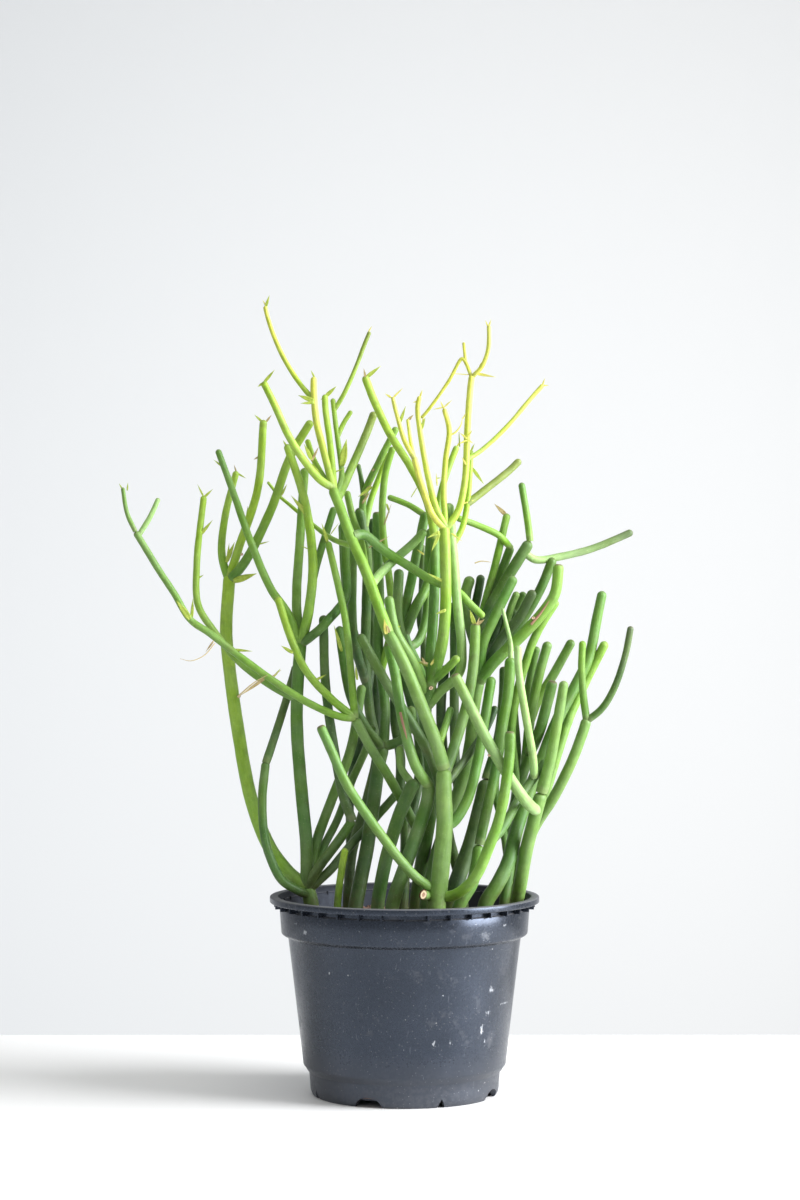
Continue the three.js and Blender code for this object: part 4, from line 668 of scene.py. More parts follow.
def make_stem_skin():
    """Live succulent skin under a thin wax bloom: soft gloss, lengthwise grain, pale pores."""
    material, tree, place = new_material("waxy succulent skin")
    tone = add(tree, "ShaderNodeAttribute", output="Color", attribute_name="tone")
    # Mottling a few millimetres across, then broad paler patches.
    mottle = add(tree, "ShaderNodeMapRange", (pattern(tree, place, 6, 4.0), 0.3, 0.7))
    tone = coat(tree, tone, "#dbe2cc", mottle, 0, 1, 1, 0, "MULTIPLY")
    tone = coat(tree, tone, "#a9bf5c", pattern(tree, place, 28, 2.0), 0.4, 0.68, 0, 0.16)
    # Grain along the pencil, 0.7 mm wide and 9 mm long, on the skin's own map in millimetres.
    skin_map = add(tree, "ShaderNodeAttribute", output="Vector", attribute_name="skin_mm")
    grain = pattern(tree, skin_map, 1000, 3.0, 0.65, (1 / 0.7, 1 / 9, 1))
    grain = add(tree, "ShaderNodeMapRange", (grain, 0.35, 0.68))
    tone = coat(tree, tone, "#b2c298", grain, 0, 1, 0, 0.34, "MULTIPLY")
    # The whitish wax bloom, rubbed off in places, then sparse olive stains with soft edges.
    tone = coat(tree, tone, "#dde5cf", pattern(tree, place, 16, 5.0), 0.35, 0.65, 0, 0.07)
    tone = coat(tree, tone, "#5c5a2c", pattern(tree, place, 11, 4.0), 0.6, 0.72, 0, 0.35)
    # Pale pores about 0.3 mm across.
    pores = add(tree, "ShaderNodeTexVoronoi", {"Vector": place, "Scale": 1 / (1.9 * MM)}, "Distance")
    pores = add(tree, "ShaderNodeMapRange", (pores, 0.09, 0.16, 1.0, 0.0))
    tone = coat(tree, tone, "#c9d8a4", pores, 0, 1, 0, 0.2)
    # Brownish cork near the soil, its edge ragged.
    ragged = add(tree, "ShaderNodeMapRange", (pattern(tree, place, 5), 0.3, 0.7, -12 * MM, 12 * MM))
    height = add(tree, "ShaderNodeSeparateXYZ", (place,), 2)
    height = add(tree, "ShaderNodeMath", (height, ragged), operation="ADD")
    tone = coat(tree, tone, "#5e5f38", height, 110 * MM, 126 * MM, 0.6, 0)
    # A pale ring at each joint with a brown one in it, and a tip that died back.
    from_foot = add(tree, "ShaderNodeAttribute", output="Fac", attribute_name="from_foot_mm")
    tone = coat(tree, tone, "#b9c99a", from_foot, 3.4, 5.2, 0.12, 0)
    tone = coat(tree, tone, "#68683a", from_foot, 2.6, 3.6, 0.26, 0)
    to_tip = add(tree, "ShaderNodeAttribute", output="Fac", attribute_name="to_tip_mm")
    tip = add(tree, "ShaderNodeMapRange", (to_tip, 0.3, 1.5, 0.85, 0.0))
    dry = add(tree, "ShaderNodeAttribute", output="Fac", attribute_name="dry_tip")
    tip = add(tree, "ShaderNodeMath", (tip, dry), operation="MULTIPLY")
    tone = coat(tree, tone, "#6b5a44", tip, 0, 1)
    lumps = pattern(tree, place, 1.6, 2.0)
    relief = add(tree, "ShaderNodeMath", (grain, pores), operation="SUBTRACT")
    relief = add(tree, "ShaderNodeMath", (lumps, 1.4, relief), operation="MULTIPLY_ADD")
    end_material(tree, tone, relief, 0.4, 0.15, {
        "Roughness": add(tree, "ShaderNodeMapRange", (mottle, 0, 1, 0.4, 0.54)),
        "IOR": 1.46,
        "Specular Tint": "#eaf4f4",
        "Subsurface Weight": 0.1,
        "Subsurface Scale": 1.2 * MM,
        "Subsurface Radius": (0.7, 1.0, 0.2),
        "Sheen Weight": 0.04,
        "Sheen Roughness": 0.5,
    })
    return material


def make_leaf_skin(name, light, dark, roughness, translucency):
    """A thin leaf blade: mottled, paler along its midrib, a little light passing through."""
    material, tree, place = new_material(name)
    mottle = add(tree, "ShaderNodeMapRange", (pattern(tree, place, 2, 4.0), 0.3, 0.7))
    across = add(tree, "ShaderNodeAttribute", output="Fac", attribute_name="across")
    tone = coat(tree, coat(tree, light, dark, mottle, 0, 1), light, across, 0.05, 0.25, 0.5, 0)
    end_material(tree, tone, mottle, 0.4, 0.1, {
        "Roughness": roughness,
        "IOR": 1.42,
        "Subsurface Weight": translucency,
        "Subsurface Scale": 1 * MM,
        "Subsurface Radius": (0.9, 1.0, 0.3),
    })
    return material


def smears(tree, place):
    """How strongly the pot's scuffs show at a place, each broken up into flecks."""
    flecks = pattern(tree, place, 1.5, 5.0, 0.7, (1.2, 1.2, 0.6))
    flecks = add(tree, "ShaderNodeMapRange", (flecks, 0.36, 0.64, 0.0, 1.2))
    total = 0.0
    for centre, half_width, half_height, strength in SCUFFS:
        scale = tuple(1 / (size * MM) for size in (half_width, SCUFF_DEPTH, half_height))
        away = add(tree, "ShaderNodeVectorMath", (place, sight(centre)), operation="SUBTRACT")
        away = add(tree, "ShaderNodeVectorMath", (away, scale), operation="MULTIPLY")
        away = add(tree, "ShaderNodeVectorMath", (away,), 1, operation="LENGTH")
        away = add(tree, "ShaderNodeMath", (away, flecks), operation="ADD")
        mark = add(tree, "ShaderNodeMapRange", (away, 0.8, 1.15, strength, 0.0))
        total = add(tree, "ShaderNodeMath", (mark, total), operation="MAXIMUM")
    return total


def make_pot_plastic():
    """Injection moulded black polypropylene: a cool gloss, scuffed, dusty on its ledges."""
    material, tree, place = new_material("moulded black polypropylene")
    normal = add(tree, "ShaderNodeNewGeometry", output="Normal")
    clouds = add(tree, "ShaderNodeMapRange", (pattern(tree, place, 30, 5.0, 0.65), 0.35, 0.7))
    fine = add(tree, "ShaderNodeMapRange", (pattern(tree, place, 2.5, 5.0, 0.7), 0.42, 0.72))
    tone = coat(tree, "#16191e", "#22262d", clouds, 0, 1)
    # Dust: on what faces up, in a band at the foot where water has splashed, and in stray patches.
    upward = add(tree, "ShaderNodeSeparateXYZ", (normal,), 2)
    ledge = add(tree, "ShaderNodeMapRange", (upward, 0.25, 0.9, 0.0, 0.5))
    height = add(tree, "ShaderNodeSeparateXYZ", (place,), 2)
    splash = add(tree, "ShaderNodeMapRange", (height, 0.0, 34 * MM, 0.34, 0.0))
    speckled = add(tree, "ShaderNodeMapRange", (fine, 0, 1, 0.4, 1.0))
    splash = add(tree, "ShaderNodeMath", (splash, speckled), operation="MULTIPLY")
    patches = add(tree, "ShaderNodeMapRange", (pattern(tree, place, 14, 6.0, 0.75), 0.58, 0.78, 0.0, 0.35))
    dust = add(tree, "ShaderNodeMath", (ledge, splash), operation="MAXIMUM")
    dust = add(tree, "ShaderNodeMath", (dust, patches), operation="MAXIMUM")
    tone = coat(tree, tone, "#7d7b7a", dust, 0, 1)
    # Specks of lime and perlite dust, fine ones all over and larger ones few and far between.
    uneven = add(tree, "ShaderNodeMapRange", (clouds, 0, 1, 0.5, 1.0))
    for apart, low, high, strength in ((2.6, 0.07, 0.15, 0.3), (11, 0.025, 0.05, 0.75)):
        specks = add(tree, "ShaderNodeTexVoronoi", {"Vector": place, "Scale": 1 / (apart * MM)}, "Distance")
        specks = add(tree, "ShaderNodeMapRange", (specks, low, high, strength, 0.0))
        specks = add(tree, "ShaderNodeMath", (specks, uneven), operation="MULTIPLY")
        tone = coat(tree, tone, "#bdbcbb", specks, 0, 1)
    scuffs = smears(tree, place)
    tone = coat(tree, tone, "#d3d6da", scuffs, 0, 1)
    # Scratches from handling, 0.9 mm wide and 26 mm long, mostly upright.
    scratch = pattern(tree, place, 1, 2.0, 0.5, (1 / 0.9, 1 / 0.9, 1 / 26))
    tone = coat(tree, tone, "#8c8f96", scratch, 0.7, 0.75, 0, 0.25)
    rough = add(tree, "ShaderNodeMapRange", (fine, 0, 1, 0.24, 0.34))
    rough = add(tree, "ShaderNodeMath", (rough, dust), operation="ADD")
    rough = add(tree, "ShaderNodeMath", (rough, scuffs), operation="MAXIMUM")
    # Its inside is matt and brownish with dried soil: there the surface looks towards the axis.
    outward = add(tree, "ShaderNodeVectorMath", (place, (1, 1, 0)), operation="MULTIPLY")
    facing = add(tree, "ShaderNodeVectorMath", (normal, outward), 1, operation="DOT_PRODUCT")
    inside = add(tree, "ShaderNodeMapRange", (facing, -0.03, -0.06))
    tone = coat(tree, tone, "#1a1817", inside, 0, 1)
    end_material(tree, tone, pattern(tree, place, 1.6), 0.16, 0.1, {
        "Roughness": add(tree, "ShaderNodeMath", (inside, 0.4, rough), operation="MULTIPLY_ADD"),
        "IOR": 1.52,
        "Specular IOR Level": 0.72,
        "Specular Tint": "#d2e2ff",
    })
    return material


def make_peat():
    """Dry potting peat: matt, pinkish brown, with paler crumbs."""
    material, tree, place = new_material("dry potting peat")
    crumbs = add(tree, "ShaderNodeMapRange", (pattern(tree, place, 3, 6.0, 0.7), 0.3, 0.7))
    tint = add(tree, "ShaderNodeAttribute", output="Fac", attribute_name="crumb_tint")
    tone = coat(tree, coat(tree, "#4a352c", "#8a6d60", crumbs, 0, 1), "#a58c7e", tint, 0, 1)
    end_material(tree, tone, crumbs, 0.8, 0.8, {"Roughness": 0.95, "IOR": 1.4})
    return material


def make_scar_cork():
    """Healed cork where something came off: a pinkish core, a pale beige rim, brown round it."""
    material, tree, place = new_material("healed beige cork")
    mottle = add(tree, "ShaderNodeMapRange", (pattern(tree, place, 0.8, 4.0), 0.3, 0.7, -0.1, 0.1))
    out = add(tree, "ShaderNodeAttribute", output="Fac", attribute_name="from_middle")
    out = add(tree, "ShaderNodeMath", (out, mottle), operation="ADD")
    tone = coat(tree, coat(tree, "#a17a66", "#e6d3ac", out, 0.3, 0.6), "#5c3a24", out, 0.72, 0.9)
    end_material(tree, tone, mottle, 0.5, 0.2, {"Roughness": 0.8, "IOR": 1.4})
    return material


def spline(points, step):
    """Points about a step apart along the smooth curve through the given ones (centripetal)."""
    pts = [np.array(p) for p in points]
    pts = [2 * pts[0] - pts[1], *pts, 2 * pts[-1] - pts[-2]]
    curve = []
    for a, b, c, d in zip(pts, pts[1:], pts[2:], pts[3:]):
        t0 = 0.0
        t1 = t0 + math.sqrt(np.linalg.norm(b - a))
        t2 = t1 + math.sqrt(np.linalg.norm(c - b))
        t3 = t2 + math.sqrt(np.linalg.norm(d - c))
        count = max(2, round(np.linalg.norm(c - b) / step))
        for t in np.linspace(t1, t2, count, endpoint=False):
            ab = a + (b - a) * (t - t0) / (t1 - t0)
            bc = b + (c - b) * (t - t1) / (t2 - t1)
            cd = c + (d - c) * (t - t2) / (t3 - t2)
            abc = ab + (bc - ab) * (t - t0) / (t2 - t0)
            bcd = bc + (cd - bc) * (t - t1) / (t3 - t1)
            curve.append(abc + (bcd - abc) * (t - t1) / (t2 - t1))
    curve.append(pts[-2])
    return np.array(curve)


def mesh_object(name, mesh):
    """An object of a mesh, in the scene."""
    made = bpy.data.objects.new(name, mesh)
    bpy.context.scene.collection.objects.link(made)
    return made


def closed_object(bm, name, material=None):
    """An object of a closed bmesh: its faces turned outwards, its quads shaded smoothly."""
    bmesh.ops.recalc_face_normals(bm, faces=bm.faces)
    for face in bm.faces:
        face.smooth = len(face.verts) == 4
    mesh = bpy.data.meshes.new(name)
    bm.to_mesh(mesh)
    bm.free()
    if material:
        mesh.materials.append(material)
    return mesh_object(name, mesh)


def bridge(bm, rings):
    """Faces between neighbouring rings of corners. One corner repeated makes a pole."""
    for low, high in zip(rings, rings[1:]):
        for corners in zip(low, low[1:] + low[:1], high[1:] + high[:1], high):
            bm.faces.new(list(dict.fromkeys(corners)))


def smooth_by_angle(piece, degrees):
    """Shades a piece smoothly but for its edges sharper than an angle."""
    bm = bmesh.new()
    bm.from_mesh(piece.data)
    for face in bm.faces:
        face.smooth = True
    for edge in bm.edges:
        edge.smooth = edge.calc_face_angle(0) < math.radians(degrees)
    bm.to_mesh(piece.data)
    bm.free()


def with_modifiers_applied(source, name):
    """A plain mesh object of what a built object's modifiers make."""
    evaluated = source.evaluated_get(bpy.context.evaluated_depsgraph_get())
    mesh = bpy.data.meshes.new_from_object(evaluated)
    bpy.data.objects.remove(source)
    mesh.name = name
    return mesh_object(name, mesh)


def geometry_tree(name, sizes):
    """An empty geometry node tree with a geometry input and an input for each size."""
    tree = bpy.data.node_groups.new(name, "GeometryNodeTree")
    tree.interface.new_socket("Geometry", in_out="INPUT", socket_type="NodeSocketGeometry")
    for label, value in sizes.items():
        kind = "NodeSocketInt" if isinstance(value, int) else "NodeSocketFloat"
        tree.interface.new_socket(label, in_out="INPUT", socket_type=kind)
    tree.interface.new_socket("Geometry", in_out="OUTPUT", socket_type="NodeSocketGeometry")
    return tree, tree.nodes.new("NodeGroupInput").outputs


def end_tree(tree, geometry, material):
    """Ends a geometry node tree: all of it real mesh, in its material."""
    whole = add(tree, "GeometryNodeRealizeInstances", (geometry,))
    dressed = add(tree, "GeometryNodeSetMaterial", {"Geometry": whole, "Material": material})
    add(tree, "NodeGroupOutput", (dressed,), None)


def grown(source, tree, sizes, name):
    """Runs a geometry node tree on an object, with its sizes set, and keeps the result."""
    modifier = source.modifiers.new(tree.name, "NODES")
    modifier.node_group = tree
    for item in tree.interface.items_tree:
        if item.in_out == "INPUT" and item.name in sizes:
            modifier[item.identifier] = sizes[item.name]
    source.update_tag()
    return with_modifiers_applied(source, name)


def make_sweep_tree(sizes, material):
    """Sweeps a round section along each line of a mesh, as thick as its points say."""
    tree, given = geometry_tree("swept_lines", sizes)
    radius, along, girth = (
        add(tree, "GeometryNodeInputNamedAttribute", {"Name": name}, data_type="FLOAT")
        for name in ("radius_m", "along_mm", "girth_mm")
    )
    curve = add(tree, "GeometryNodeMeshToCurve", {"Mesh": given["Geometry"]})
    ring = add(tree, "GeometryNodeCurvePrimitiveCircle", {"Resolution": given["Sides"], "Radius": 1.0})
    ring = add(tree, "GeometryNodeCaptureAttribute", {"Geometry": ring}, None)
    ring.capture_items.new("FLOAT", "turn")
    tree.links.new(add(tree, "GeometryNodeSplineParameter", output="Factor"), ring.inputs[1])
    inputs = {"Curve": curve, "Profile Curve": ring.outputs[0], "Scale": radius, "Fill Caps": True}
    swept = add(tree, "GeometryNodeCurveToMesh", inputs)
    # The skin's own map, in millimetres: round the pencil, then along it.
    turn = add(tree, "ShaderNodeMath", (ring.outputs[1], 2 * math.pi), operation="MULTIPLY")
    waves = [add(tree, "ShaderNodeMath", (turn,), operation=wave) for wave in ("COSINE", "SINE")]
    x, z = (add(tree, "ShaderNodeMath", (wave, girth), operation="MULTIPLY") for wave in waves)
    skin_map = add(tree, "ShaderNodeCombineXYZ", (x, along, z))
    inputs = {"Geometry": swept, "Name": "skin_mm", "Value": skin_map}
    mapped = add(tree, "GeometryNodeStoreNamedAttribute", inputs, data_type="FLOAT_VECTOR", domain="POINT")
    # Slight lumps about 7 mm across, as on anything grown.
    position = add(tree, "GeometryNodeInputPosition")
    lumps = add(tree, "ShaderNodeTexNoise", {"Vector": position, "Scale": 1 / (7 * MM), "Detail": 1.0})
    lumps = add(tree, "ShaderNodeMath", (lumps, 0.5), operation="SUBTRACT")
    lumps = add(tree, "ShaderNodeMath", (lumps, given["Lump"]), operation="MULTIPLY")
    normal = add(tree, "GeometryNodeInputNormal")
    push = add(tree, "ShaderNodeVectorMath", {0: normal, 3: lumps}, operation="SCALE")
    moved = add(tree, "GeometryNodeSetPosition", {"Geometry": mapped, "Offset": push})
    smooth = add(tree, "GeometryNodeSetShadeSmooth", {"Geometry": moved})
    end_tree(tree, smooth, material)
    return tree


def swept_lines(name, lines, values, tree, sizes, ending):
    """Sweeps lines of points in metres as one piece, from the values at their points."""
    edges = []
    first = 0
    for line in lines:
        edges.extend((first + i, first + i + 1) for i in range(len(line) - 1))
        first += len(line)
    mesh = bpy.data.meshes.new(name)
    mesh.from_pydata(np.concatenate(lines).tolist(), edges, [])
    for key, numbers in values.items():
        kind, field = ("FLOAT_COLOR", "color") if key == "tone" else ("FLOAT", "value")
        layer = mesh.attributes.new(key, kind, "POINT")
        layer.data.foreach_set(field, np.ravel(np.concatenate(numbers)))
    return grown(mesh_object(name, mesh), tree, sizes, name + ending)


def pencil_line(points, foot_thickness, tip_thickness, dry):
    """A pencil's middle line in metres, with its radius and its distances from both ends."""
    line = spline([sight(p) for p in points], PENCIL_STEP * MM)
    steps = np.linalg.norm(np.diff(line, axis=0), axis=1)
    along = np.concatenate([[0], np.cumsum(steps)])
    length = along[-1]
    tip_radius = tip_thickness / 2 * MM
    # Rings crowd together over the last radius, so that the tip comes out round.
    dome = length - tip_radius * (1 - np.sin(np.linspace(0.0, math.pi / 2 * 0.985, TIP_RINGS)))
    kept = along[along < dome[0] - PENCIL_STEP / 3 * MM]
    stations = np.concatenate([kept, dome])
    line = np.stack([np.interp(stations, along, line[:, k]) for k in range(3)], axis=1)
    share = stations / length
    radius = (foot_thickness + (tip_thickness - foot_thickness) * share) / 2 * MM
    to_tip = length - stations
    roundness = np.clip(1 - ((tip_radius - to_tip) / tip_radius).clip(0, 1) ** 2, 0.02, 1) ** 0.5
    if dry:
        roundness = roundness**DRY_TIP_FLATNESS
    # A slight waist at the foot, and a slight swelling after it.
    waist = 1 - 0.045 * np.exp(-((stations / (1.6 * MM)) ** 2))
    swell = 1 + 0.02 * np.exp(-(((stations - 6 * MM) / (4 * MM)) ** 2))
    return line, radius * roundness * waist * swell, stations, to_tip


def make_stem(name, pencils, tree):
    """All the pencils of one rooted stem, as one mesh."""
    lines = []
    keys = ("radius_m", "along_mm", "girth_mm", "from_foot_mm", "to_tip_mm", "dry_tip", "tone")
    values = {key: [] for key in keys}
    for label, parent, foot_thickness, tip_thickness, tone_names, points in pencils:
        if not parent:
            # Straight down into the soil.
            x, z, depth = points[0]
            spread = 1 + depth / EYE_DISTANCE
            points = [(x, EYE_HEIGHT + (SOIL_HEIGHT - ROOT_DEPTH - EYE_HEIGHT) / spread, depth), *points]
        dry = (name, label) in DRY_TIPS
        line, radius, stations, to_tip = pencil_line(points, foot_thickness, tip_thickness, dry)
        # Every pencil starts at another place on the skin's map, so that no two look alike.
        start = GRAIN_STRIDE * sum(len(line) for line in lines) % GRAIN_SPAN
        one = np.ones(len(line))
        tones = (tone_names.split() * 2)[:2]
        low, high = (np.array(linear(TONES[tone])) for tone in tones)
        values["radius_m"].append(radius)
        values["along_mm"].append(stations / MM + start)
        values["girth_mm"].append(one * foot_thickness / 2)
        values["from_foot_mm"].append(stations / MM if parent else one * NO_JOINT)
        values["to_tip_mm"].append(to_tip / MM)
        values["dry_tip"].append(one if dry else one * LIVE_TIP_BROWN)
        values["tone"].append(low + (high - low) * (stations / stations[-1])[:, None])
        lines.append(line)
    return swept_lines(name, lines, values, tree, PENCIL_SIZES, "_grown")


def make_hairs(name, hairs, material):
    """Thin curled stalks, swept along their routes and thinner towards their ends."""
    lines = [spline([sight(p) for p in points], HAIR_STEP * MM) for points, thickness in hairs]
    radii = [
        thickness / 2 * MM * (1 - 0.7 * np.linspace(0, 1, len(line)) ** 2)
        for line, (points, thickness) in zip(lines, hairs)
    ]
    tree = make_sweep_tree(HAIR_SIZES, material)
    return swept_lines(name, lines, {"radius_m": radii}, tree, HAIR_SIZES, "_swept")


def blade(bm, layer, foot, tip, width, curl):
    """Adds one leaf to a mesh: a thin closed blade, cupped, bent back towards its tip."""
    base = sight(foot)
    way = sight((*tip, foot[2])) - base
    length = way.length
    way.normalize()
    side = way.cross(Vector((0, 1, 0))).normalized()
    out = side.cross(way).normalized()
    if out.y > 0:
        out = -out
    rings = []
    for t in np.linspace(0, 1, BLADE_ROWS):
        half = width * MM / 2 * max(0.05, math.sin(math.pi * (0.12 + 0.88 * t) ** 0.8)) * (1 - 0.15 * t)
        upper, lower = [], []
        for u in np.linspace(-1, 1, BLADE_COLUMNS):
            rise = curl * length * t * t + 0.28 * half * u * u
            thick = max(0.08, 0.3 * (1 - abs(u)) * (1 - 0.6 * t)) * MM / 2
            middle = base + way * length * t + side * half * u + out * rise
            for row, offset in ((upper, thick), (lower, -thick)):
                corner = bm.verts.new(middle + out * offset)
                corner[layer] = abs(u)
                row.append(corner)
        rings.append(upper + lower[::-1])
    bridge(bm, rings)
    for ring in (rings[0], rings[-1]):
        for j in range(BLADE_COLUMNS - 1):
            bm.faces.new((ring[j], ring[j + 1], ring[-2 - j], ring[-1 - j]))


def make_leaves(name, leaves, material):
    """Some leaves as one piece, no two bent alike."""
    bm = bmesh.new()
    layer = bm.verts.layers.float.new("across")
    for k, (foot, tip, width) in enumerate(leaves):
        blade(bm, layer, foot, tip, width, 0.1 + 0.12 * math.sin(2.4 * k + len(name)))
    return closed_object(bm, name, material)


def arc_corner(centre_r, centre_z, radius, start, end):
    """Four points on an arc in the pot's section, from one angle to another in degrees."""
    angles = np.radians(np.linspace(start, end, 4))
    return [(centre_r + radius * math.cos(a), centre_z + radius * math.sin(a)) for a in angles]


def pot_section():
    """The pot's wall in section, up the outside and down the inside, its edges rounded."""
    lip_foot = POT_HEIGHT - LIP_DROP
    neck = COLLAR_RADIUS - NECK_STEP
    return [
        (0, 0.3), (FOOT_DISC_RADIUS - 0.6, 0), (FOOT_DISC_RADIUS, 0.6), (FOOT_DISC_RADIUS, FLOOR_RECESS),
        (FOOT_RADIUS - 2 * FOOT_EDGE, FLOOR_RECESS), (FOOT_RADIUS - FOOT_EDGE, 0.3),
        (FOOT_RADIUS - FOOT_EDGE + 0.4, 0), (FOOT_RADIUS - 0.1, 0), (FOOT_RADIUS + 0.5, 0.6),
        (FOOT_RADIUS + FOOT_EDGE - 0.2, 2.2), (FOOT_RADIUS + FOOT_EDGE + 0.1, 3.4), (57.9, 8),
        (SKIRT_RADIUS - 0.1, SKIRT_HEIGHT - 0.9), (SKIRT_RADIUS + 0.4, SKIRT_HEIGHT - 0.1),
        (SKIRT_RADIUS + 1.1, SKIRT_HEIGHT + 0.6), (BODY_FOOT_RADIUS - 1.1, BODY_FOOT_HEIGHT - 1.2),
        (BODY_FOOT_RADIUS - 0.35, BODY_FOOT_HEIGHT - 0.4), (BODY_FOOT_RADIUS, BODY_FOOT_HEIGHT + 0.6),
        (64.2, 38), (66.6, 58), (69, 78), (BODY_TOP_RADIUS - 0.15, BODY_TOP_HEIGHT - 1.2),
        (BODY_TOP_RADIUS + 0.2, BODY_TOP_HEIGHT - 0.3), (BODY_TOP_RADIUS + 0.9, BODY_TOP_HEIGHT + 0.1),
        (COLLAR_RADIUS - 2.1, COLLAR_FOOT - 0.75), (COLLAR_RADIUS - 1.35, COLLAR_FOOT - 0.1),
        (COLLAR_RADIUS - 1.1, COLLAR_FOOT + 0.7), (COLLAR_RADIUS - 0.6, 106),
        (COLLAR_RADIUS - 0.1, NECK_HEIGHT - 0.8), (COLLAR_RADIUS - 0.35, NECK_HEIGHT - 0.25),
        (COLLAR_RADIUS - 0.8, NECK_HEIGHT), (neck, NECK_HEIGHT + 0.2), (neck, lip_foot - 0.2),
        (neck + 0.3, lip_foot), (LIP_RADIUS - 0.7, lip_foot),
        *arc_corner(LIP_RADIUS - 0.6, lip_foot + 0.6, 0.6, -80, 0),
        *arc_corner(LIP_RADIUS - 0.8, POT_HEIGHT - 0.8, 0.8, 0, 90),
        (COLLAR_RADIUS + 1.6, POT_HEIGHT), (COLLAR_RADIUS + 0.9, POT_HEIGHT - 0.2),
        (COLLAR_RADIUS + 0.4, POT_HEIGHT - 0.7), (COLLAR_RADIUS - 0.9, NECK_HEIGHT + 2.6),
        (COLLAR_RADIUS - 1.9, NECK_HEIGHT), (COLLAR_INSIDE, COLLAR_FOOT + 1),
        (COLLAR_INSIDE - 0.5, COLLAR_FOOT + 0.3), (BODY_TOP_RADIUS - WALL, BODY_TOP_HEIGHT + 0.8),
        (BODY_TOP_RADIUS - WALL - 0.2, BODY_TOP_HEIGHT - 0.4),
        (BODY_FOOT_RADIUS - WALL, BODY_FOOT_HEIGHT + 1), (SKIRT_RADIUS - WALL, SKIRT_HEIGHT + 1),
        (FOOT_RADIUS + 0.6, FLOOR_TOP), (0, FLOOR_TOP),
    ]


def turned(name, corners, segments, material):
    """A closed solid turned about the pot's axis, from its section in millimetres."""
    bm = bmesh.new()
    turns = [2 * math.pi * i / segments for i in range(segments)]
    rings = []
    for radius, height in corners:
        if radius == 0:
            ring = [bm.verts.new((0, 0, height * MM))] * segments
        else:
            ring = [
                bm.verts.new((radius * MM * math.cos(turn), radius * MM * math.sin(turn), height * MM))
                for turn in turns
            ]
        rings.append(ring)
    bridge(bm, rings)
    return closed_object(bm, name, material)


def foot_notches():
    """The cutters of the notches in the pot's foot: wide round arches and small pointed ones."""
    turns = np.linspace(math.pi * 0.97, math.pi * 0.03, 11)
    arch = [(ARCH_HALF * math.cos(a), ARCH_SHOULDER + ARCH_RISE * math.sin(a)) for a in turns]
    edge = ARCH_HALF + 0.5
    wide = [(-edge, -2), (-edge, ARCH_SHOULDER), *arch, (edge, ARCH_SHOULDER), (edge, -2)]
    pointed = [(-2.6, -2), (-2.4, 0.4), (-0.5, 4.6), (0, 5), (0.5, 4.6), (2.4, 0.4), (2.6, -2)]
    bm = bmesh.new()
    for i in range(NOTCH_COUNT):
        angle = math.radians(ARCH_START - 90 + 360 / NOTCH_COUNT * i)
        rims = []
        for radius in (FOOT_RADIUS - 4.2, FOOT_RADIUS + 3.5):
            rim = []
            for across, height in pointed if i % 2 else wide:
                x = radius * math.cos(angle) - across * math.sin(angle)
                y = radius * math.sin(angle) + across * math.cos(angle)
                rim.append(bm.verts.new((x * MM, y * MM, height * MM)))
            rims.append(rim)
        bridge(bm, rims)
        for rim in rims:
            bm.faces.new(rim)
    return closed_object(bm, "foot_notches")


def make_pot(material):
    """The pot, turned from its section, with the notches cut into its foot."""
    shell = turned("pot_shell", pot_section(), POT_SEGMENTS, material)
    cutters = foot_notches()
    cut = shell.modifiers.new("notches", "BOOLEAN")
    cut.operation = "DIFFERENCE"
    cut.solver = "EXACT"
    cut.object = cutters
    pot = with_modifiers_applied(shell, "nursery_pot")
    bpy.data.objects.remove(cutters)
    smooth_by_angle(pot, 38)
    return pot


def make_neck_webs(material):
    """The small upright webs that stiffen the pot's neck under its lip."""
    inner, outer = COLLAR_RADIUS - NECK_STEP - 0.5, LIP_RADIUS - WEB_SETBACK
    sizes = {
        "Count": WEB_COUNT,
        "Ring Radius": (inner + outer) / 2 * MM,
        "Depth": (outer - inner) * MM,
        "Width": WEB_THICKNESS * MM,
        "Height": (POT_HEIGHT - LIP_DROP - NECK_HEIGHT + 0.8) * MM,
        "Middle": (NECK_HEIGHT + POT_HEIGHT - LIP_DROP) / 2 * MM,
    }
    tree, given = geometry_tree("ring_of_webs", sizes)
    ring = add(tree, "GeometryNodeMeshCircle", {"Vertices": given["Count"], "Radius": given["Ring Radius"]})
    size = add(tree, "ShaderNodeCombineXYZ", (given["Depth"], given["Width"], given["Height"]))
    web = add(tree, "GeometryNodeMeshCube", {"Size": size})
    inputs = {"Vector": add(tree, "GeometryNodeInputPosition")}
    facing = add(tree, "FunctionNodeAlignRotationToVector", inputs, axis="X", pivot_axis="Z")
    inputs = {"Points": ring, "Instance": web, "Rotation": facing}
    webs = add(tree, "GeometryNodeInstanceOnPoints", inputs)
    middle = add(tree, "ShaderNodeCombineXYZ", {2: given["Middle"]})
    raised = add(tree, "GeometryNodeTransform", {"Geometry": webs, "Translation": middle})
    end_tree(tree, raised, material)
    source = mesh_object("webs_source", bpy.data.meshes.new("webs_source"))
    return grown(source, tree, sizes, "neck_webs")


def soil_surface(x, y):
    """How high the soil stands at a place, in metres: low humps, hollows and crumbs."""
    rise = sum(
        height * noise.noise(Vector((x / (size * MM), y / (size * MM), layer)))
        for height, size, layer in SOIL_LUMPS
    )
    return (SOIL_HEIGHT - 0.9 + rise) * MM


